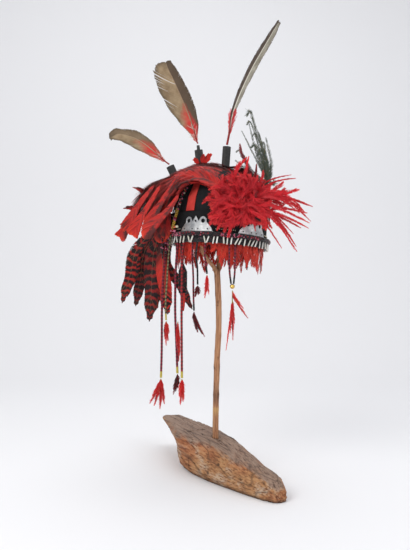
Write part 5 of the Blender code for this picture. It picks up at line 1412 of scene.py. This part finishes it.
def brassMaterial():
    s = Shader("bellBrass")
    cloud = s.noise(s.objectPoint(), 500.0, 3.0)
    colour = s.mix(s.span(cloud, 0.3, 0.7), (0.83, 0.60, 0.16), (0.45, 0.26, 0.06))
    s.bump(cloud, 0.2, 0.0004)
    return s.set(Base_Color=colour, Metallic=1.0, Roughness=0.28)


def ribbonMaterial(name, colour):
    s = Shader(name)
    place = s.objectPoint()
    weave = s.add("ShaderNodeTexWave", {"Vector": s.objectPoint((1, 1, 1), (0.4, 0.2, 0.3)), "Scale": 900.0,
                                        "Distortion": 1.5, "Detail": 2.0}).outputs["Fac"]
    soft = s.noise(place, 60.0, 3.0)
    shade = s.mix(s.span(soft, 0.35, 0.7, 0.0, 0.5), colour, tuple(c * 0.6 for c in colour))
    shade = s.mix(s.times(weave, 0.25), shade, tuple(c * 0.45 for c in colour))
    s.bump(s.plus(weave, soft), 0.3, 0.0005)
    return s.set(Base_Color=shade, Roughness=0.85)


def dress(material, *names):
    for name in names:
        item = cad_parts[name]
        item.data.materials.clear()
        item.data.materials.append(material)


blackFelt = feltMaterial("blackFelt", (0.008, 0.008, 0.009), (0.016, 0.016, 0.018))
dress(blackFelt, "cap_shell", "headband")
dress(ribbonMaterial("redCloth", (0.66, 0.040, 0.028)), "cap_strip_1", "cap_strip_2", "tab_ribbon")
silver = silverMaterial()
dress(silver, *[f"silver_plate_{n}" for n in range(1, 6)])
dress(tubeMaterial(), "socket_left", "socket_middle", "socket_right", "middle_spindle")
dress(brassMaterial(), "bell")


# raised rims round the plates' holes, a wire along the foot, and small black studs
plate = {"first": -31.0, "count": 5, "length": 0.071, "strip": 0.013, "outer": 0.0078,
         "spacing": 0.0310, "bumpRise": 0.0140, "thick": 0.0010, "foot": 0.0120}
plateRadius = (head["halfWidth"] + head["halfDepth"]) / 2 + head["bandWall"]


def platePoint(number, x, z, out):
    angle = plate["first"] + 360 * number / plate["count"] + math.degrees(x / plateRadius)
    return ovalPoint(angle, 2 * head["gap"] + head["bandWall"] + plate["thick"] + out, plate["foot"] + z)


def makePlateTrim():
    rims, studs = Beadwork(15), Beadwork(16)
    rise, half = plate["strip"] + plate["outer"] * 0.7, plate["spacing"] / 2
    bump = plate["strip"] + plate["bumpRise"] * 0.36
    outerRim, innerRim = (0.0064, 0.0010), (0.0044, 0.0006)  # radius and wire
    for number in range(plate["count"]):
        for x, z, radius, wire in ((half, rise, *outerRim), (-half, rise, *outerRim), (half, rise, *innerRim),
                                   (-half, rise, *innerRim), (0.0, bump, 0.0028, 0.0006)):
            rings = []
            for turn in turns(28):
                rings.append([platePoint(number, x + (radius + wire * math.cos(a)) * math.cos(turn),
                                         z + (radius + wire * math.cos(a)) * math.sin(turn),
                                         wire * 0.6 * math.sin(a)) for a in turns(6)])
            rims.back(rings, closed=True)
        rings = []
        for i in range(33):
            x = (i / 32 - 0.5) * plate["length"] * 0.97
            rings.append([platePoint(number, x, 0.0010 + 0.0007 * math.cos(a), 0.0004 * math.sin(a))
                          for a in turns(6)])
        rims.back(rings)
        for x, z in ((-0.0062, 0.0042), (0.0062, 0.0042), (-0.0250, 0.0045), (0.0250, 0.0045)):
            studs.bead(platePoint(number, x, z, 0.0), Vector((0, 0, 1)), 0.0013, 0.0013, beadTint["black"])
    item = rims.grow("plate_rims", silver, sides=6)
    finishPiece(item, "silver")
    finishPiece(studs.grow("plate_studs", beadGlass, sides=8), "beads")


makePlateTrim()
print("cap and plates dressed")


# driftwood and stick: finer copies of the CAD solids, weathered
def vertexSpan(built):
    return [(min(v.co[axis] for v in built.verts), max(v.co[axis] for v in built.verts)) for axis in range(3)]


def weathered(name, node, cuts, wear, material, slotName, keepFoot=0.0):
    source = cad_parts[node]
    built = bmesh.new()
    built.from_mesh(source.data)
    built.transform(source.matrix_world)
    bmesh.ops.remove_doubles(built, verts=built.verts[:], dist=1e-5)
    bmesh.ops.triangulate(built, faces=built.faces[:])
    wanted = vertexSpan(built)
    for turn in range(cuts):
        bmesh.ops.subdivide_edges(built, edges=built.edges[:], cuts=1)
        if turn > 0:
            movable = [v for v in built.verts if v.co.z > keepFoot]
            bmesh.ops.smooth_vert(built, verts=movable, factor=0.4, use_axis_x=True, use_axis_y=True, use_axis_z=True)
    found = vertexSpan(built)  # the smoothing drew the ends in: they go back to the size of the CAD
    for vertex in built.verts:
        for axis, ((low, high), (nowLow, nowHigh)) in enumerate(zip(wanted, found)):
            vertex.co[axis] = low + (vertex.co[axis] - nowLow) * (high - low) / (nowHigh - nowLow)
    built.normal_update()
    for vertex in built.verts:
        if vertex.co.z <= keepFoot:
            continue
        vertex.co += vertex.normal * wear(vertex.co)
        vertex.co.z = max(vertex.co.z, 0.0002)
    bmesh.ops.recalc_face_normals(built, faces=built.faces)
    mesh = bpy.data.meshes.new(name)
    built.to_mesh(mesh)
    built.free()
    mesh.shade_smooth()
    mesh.materials.append(material)
    item = bpy.data.objects.new(name, mesh)
    bpy.context.scene.collection.objects.link(item)
    return finishPiece(item, slotName, node)


baseVerts = [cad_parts["driftwood_base"].matrix_world @ v.co
             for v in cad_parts["driftwood_base"].data.vertices]
baseEnds = max(((a, b) for a in baseVerts for b in baseVerts), key=lambda pair: (pair[0] - pair[1]).length)
baseLine = (baseEnds[1] - baseEnds[0]).normalized()
baseLine = -baseLine if baseLine.x < 0 else baseLine
baseTurn = math.atan2(baseLine.y, baseLine.x)


def hump(value, middle, spread):
    return math.exp(-((value - middle) / spread) ** 2)


def baseWear(point):  # a hollow under the left plateau, and both ends brought out
    along = point.dot(baseLine)
    rest = point - baseLine * along
    coarse = noise.noise(point * 28.0)
    grain = noise.noise(Vector((rest.x * 420, rest.y * 420, rest.z * 420 + along * 14)))
    groove = abs(noise.noise(Vector((rest.x * 150, rest.y * 150, rest.z * 150 + along * 9))))
    hollow = math.exp(-((point.x + 0.094) / 0.020) ** 2 - ((point.z - 0.043) / 0.013) ** 2)
    hollow -= 0.75 * hump(point.x, 0.112, 0.022) + 0.3 * hump(point.x, -0.114, 0.012)
    return 0.0014 * coarse + 0.0006 * grain - 0.0016 * max(0.0, 0.10 - groove) / 0.10 - 0.010 * hollow


def driftMaterial():
    s = Shader("driftwood")
    lined = s.objectPoint((1, 1, 1), (0.0, 0.0, -baseTurn))  # X runs along the block

    def stretched(scale, size, detail, roughness, distortion=0.0):
        run = s.add("ShaderNodeMapping", {"Vector": lined, "Scale": scale})
        return s.noise(run.outputs["Vector"], size, detail, roughness, distortion)

    grain = stretched((0.09, 1.6, 1.6), 130.0, 4.0, 0.62)
    fine = stretched((0.05, 1.0, 1.0), 420.0, 3.0, 0.6)
    patch = stretched((0.6, 1.0, 1.0), 32.0, 4.0, 0.6)
    broad = stretched((0.8, 1.0, 1.0), 14.0, 2.0, 0.5)
    up = s.add("ShaderNodeSeparateXYZ", {"Vector": s.add("ShaderNodeNewGeometry").outputs["Normal"]}).outputs["Z"]
    warm = s.ramp(grain, [(0.28, (0.10, 0.036, 0.016)), (0.42, (0.26, 0.098, 0.040)), (0.52, (0.44, 0.200, 0.085)),
                          (0.64, (0.52, 0.290, 0.140)), (0.80, (0.26, 0.125, 0.062))])
    rust = s.mix(s.span(broad, 0.42, 0.62), (0.40, 0.105, 0.036), (0.46, 0.25, 0.105))
    warm = s.mix(0.35, warm, rust)
    pale = s.times(s.span(patch, 0.55, 0.66), s.span(fine, 0.38, 0.60))
    warm = s.mix(s.times(pale, 0.75), warm, (0.56, 0.47, 0.37))
    grey = s.ramp(grain, [(0.30, (0.12, 0.068, 0.048)), (0.46, (0.28, 0.180, 0.130)), (0.72, (0.36, 0.25, 0.185))])
    shift = s.times(s.math("SUBTRACT", patch, 0.5), 0.9)
    colour = s.mix(s.span(s.plus(up, shift), 0.52, 0.92), warm, grey)
    pits = s.add("ShaderNodeTexVoronoi", {"Vector": lined, "Scale": 46.0}).outputs["Distance"]
    knot = s.times(s.span(pits, 0.08, 0.20, 1.0, 0.0), s.span(broad, 0.50, 0.60))
    seam = stretched((0.06, 1.0, 1.0), 30.0, 0.6, 0.5)
    crack = s.times(s.span(seam, 0.480, 0.500), s.span(seam, 0.520, 0.500))
    dark = s.math("MAXIMUM", s.times(knot, 0.75), s.times(crack, 0.55))
    dark = s.math("MAXIMUM", dark, s.span(fine, 0.30, 0.46, 0.55, 0.0))
    colour = s.mix(dark, colour, (0.030, 0.016, 0.010))
    # painted shade: the block's colour darkens over its lowest 7 mm, where it meets the floor
    height = s.add("ShaderNodeSeparateXYZ", {"Vector": s.objectPoint()}).outputs["Z"]
    colour = s.mix(s.span(height, 0.0, 0.007, 0.8, 0.0), colour, (0.030, 0.020, 0.016))
    relief = s.math("SUBTRACT", s.plus(grain, s.times(fine, 0.4)), dark)
    s.bump(relief, 0.7, 0.0018)
    return s.set(Base_Color=colour, Roughness=0.80)


stickKnots = ((0.150, 0.0035, 1.0), (0.262, 0.004, 0.7), (0.205, 0.003, 0.8), (0.338, 0.004, 0.6))


def stickWear(point):  # knots: height, spread, strength
    ring = sum(strength * hump(point.z, height, spread) for height, spread, strength in stickKnots)
    return 0.0005 * ring + 0.0005 * noise.noise(Vector((point.x * 160, point.y * 160, point.z * 60)))


def stickMaterial():
    s = Shader("stickWood")
    grain = s.noise(s.objectPoint((40, 40, 3)), 9.0, 5.0, 0.6, 0.3)
    spots = s.noise(s.objectPoint((1, 1, 0.6)), 130.0, 3.0)
    height = s.add("ShaderNodeSeparateXYZ", {"Vector": s.objectPoint()}).outputs["Z"]
    colour = s.ramp(grain, [(0.30, (0.18, 0.072, 0.034)), (0.48, (0.44, 0.205, 0.098)), (0.70, (0.60, 0.34, 0.185))])
    band = s.times(s.span(height, 0.128, 0.145), s.span(height, 0.150, 0.180, 1.0, 0.0))
    colour = s.mix(s.times(band, 0.65), colour, (0.13, 0.060, 0.036))
    ring = s.times(s.span(height, 0.108, 0.120), s.span(height, 0.1245, 0.128, 1.0, 0.0))
    colour = s.mix(s.times(ring, 0.45), colour, (0.66, 0.42, 0.15))
    colour = s.mix(s.span(spots, 0.62, 0.72, 0.0, 0.7), colour, (0.080, 0.036, 0.020))
    s.bump(s.plus(grain, spots), 0.5, 0.0010)
    return s.set(Base_Color=colour, Roughness=0.7)


weathered("driftwood_block", "driftwood_base", 5, baseWear, driftMaterial(), "driftwood", keepFoot=0.0015)
weathered("forked_stick", "forked_pole", 3, stickWear, stickMaterial(), "stick")
print("stand made")
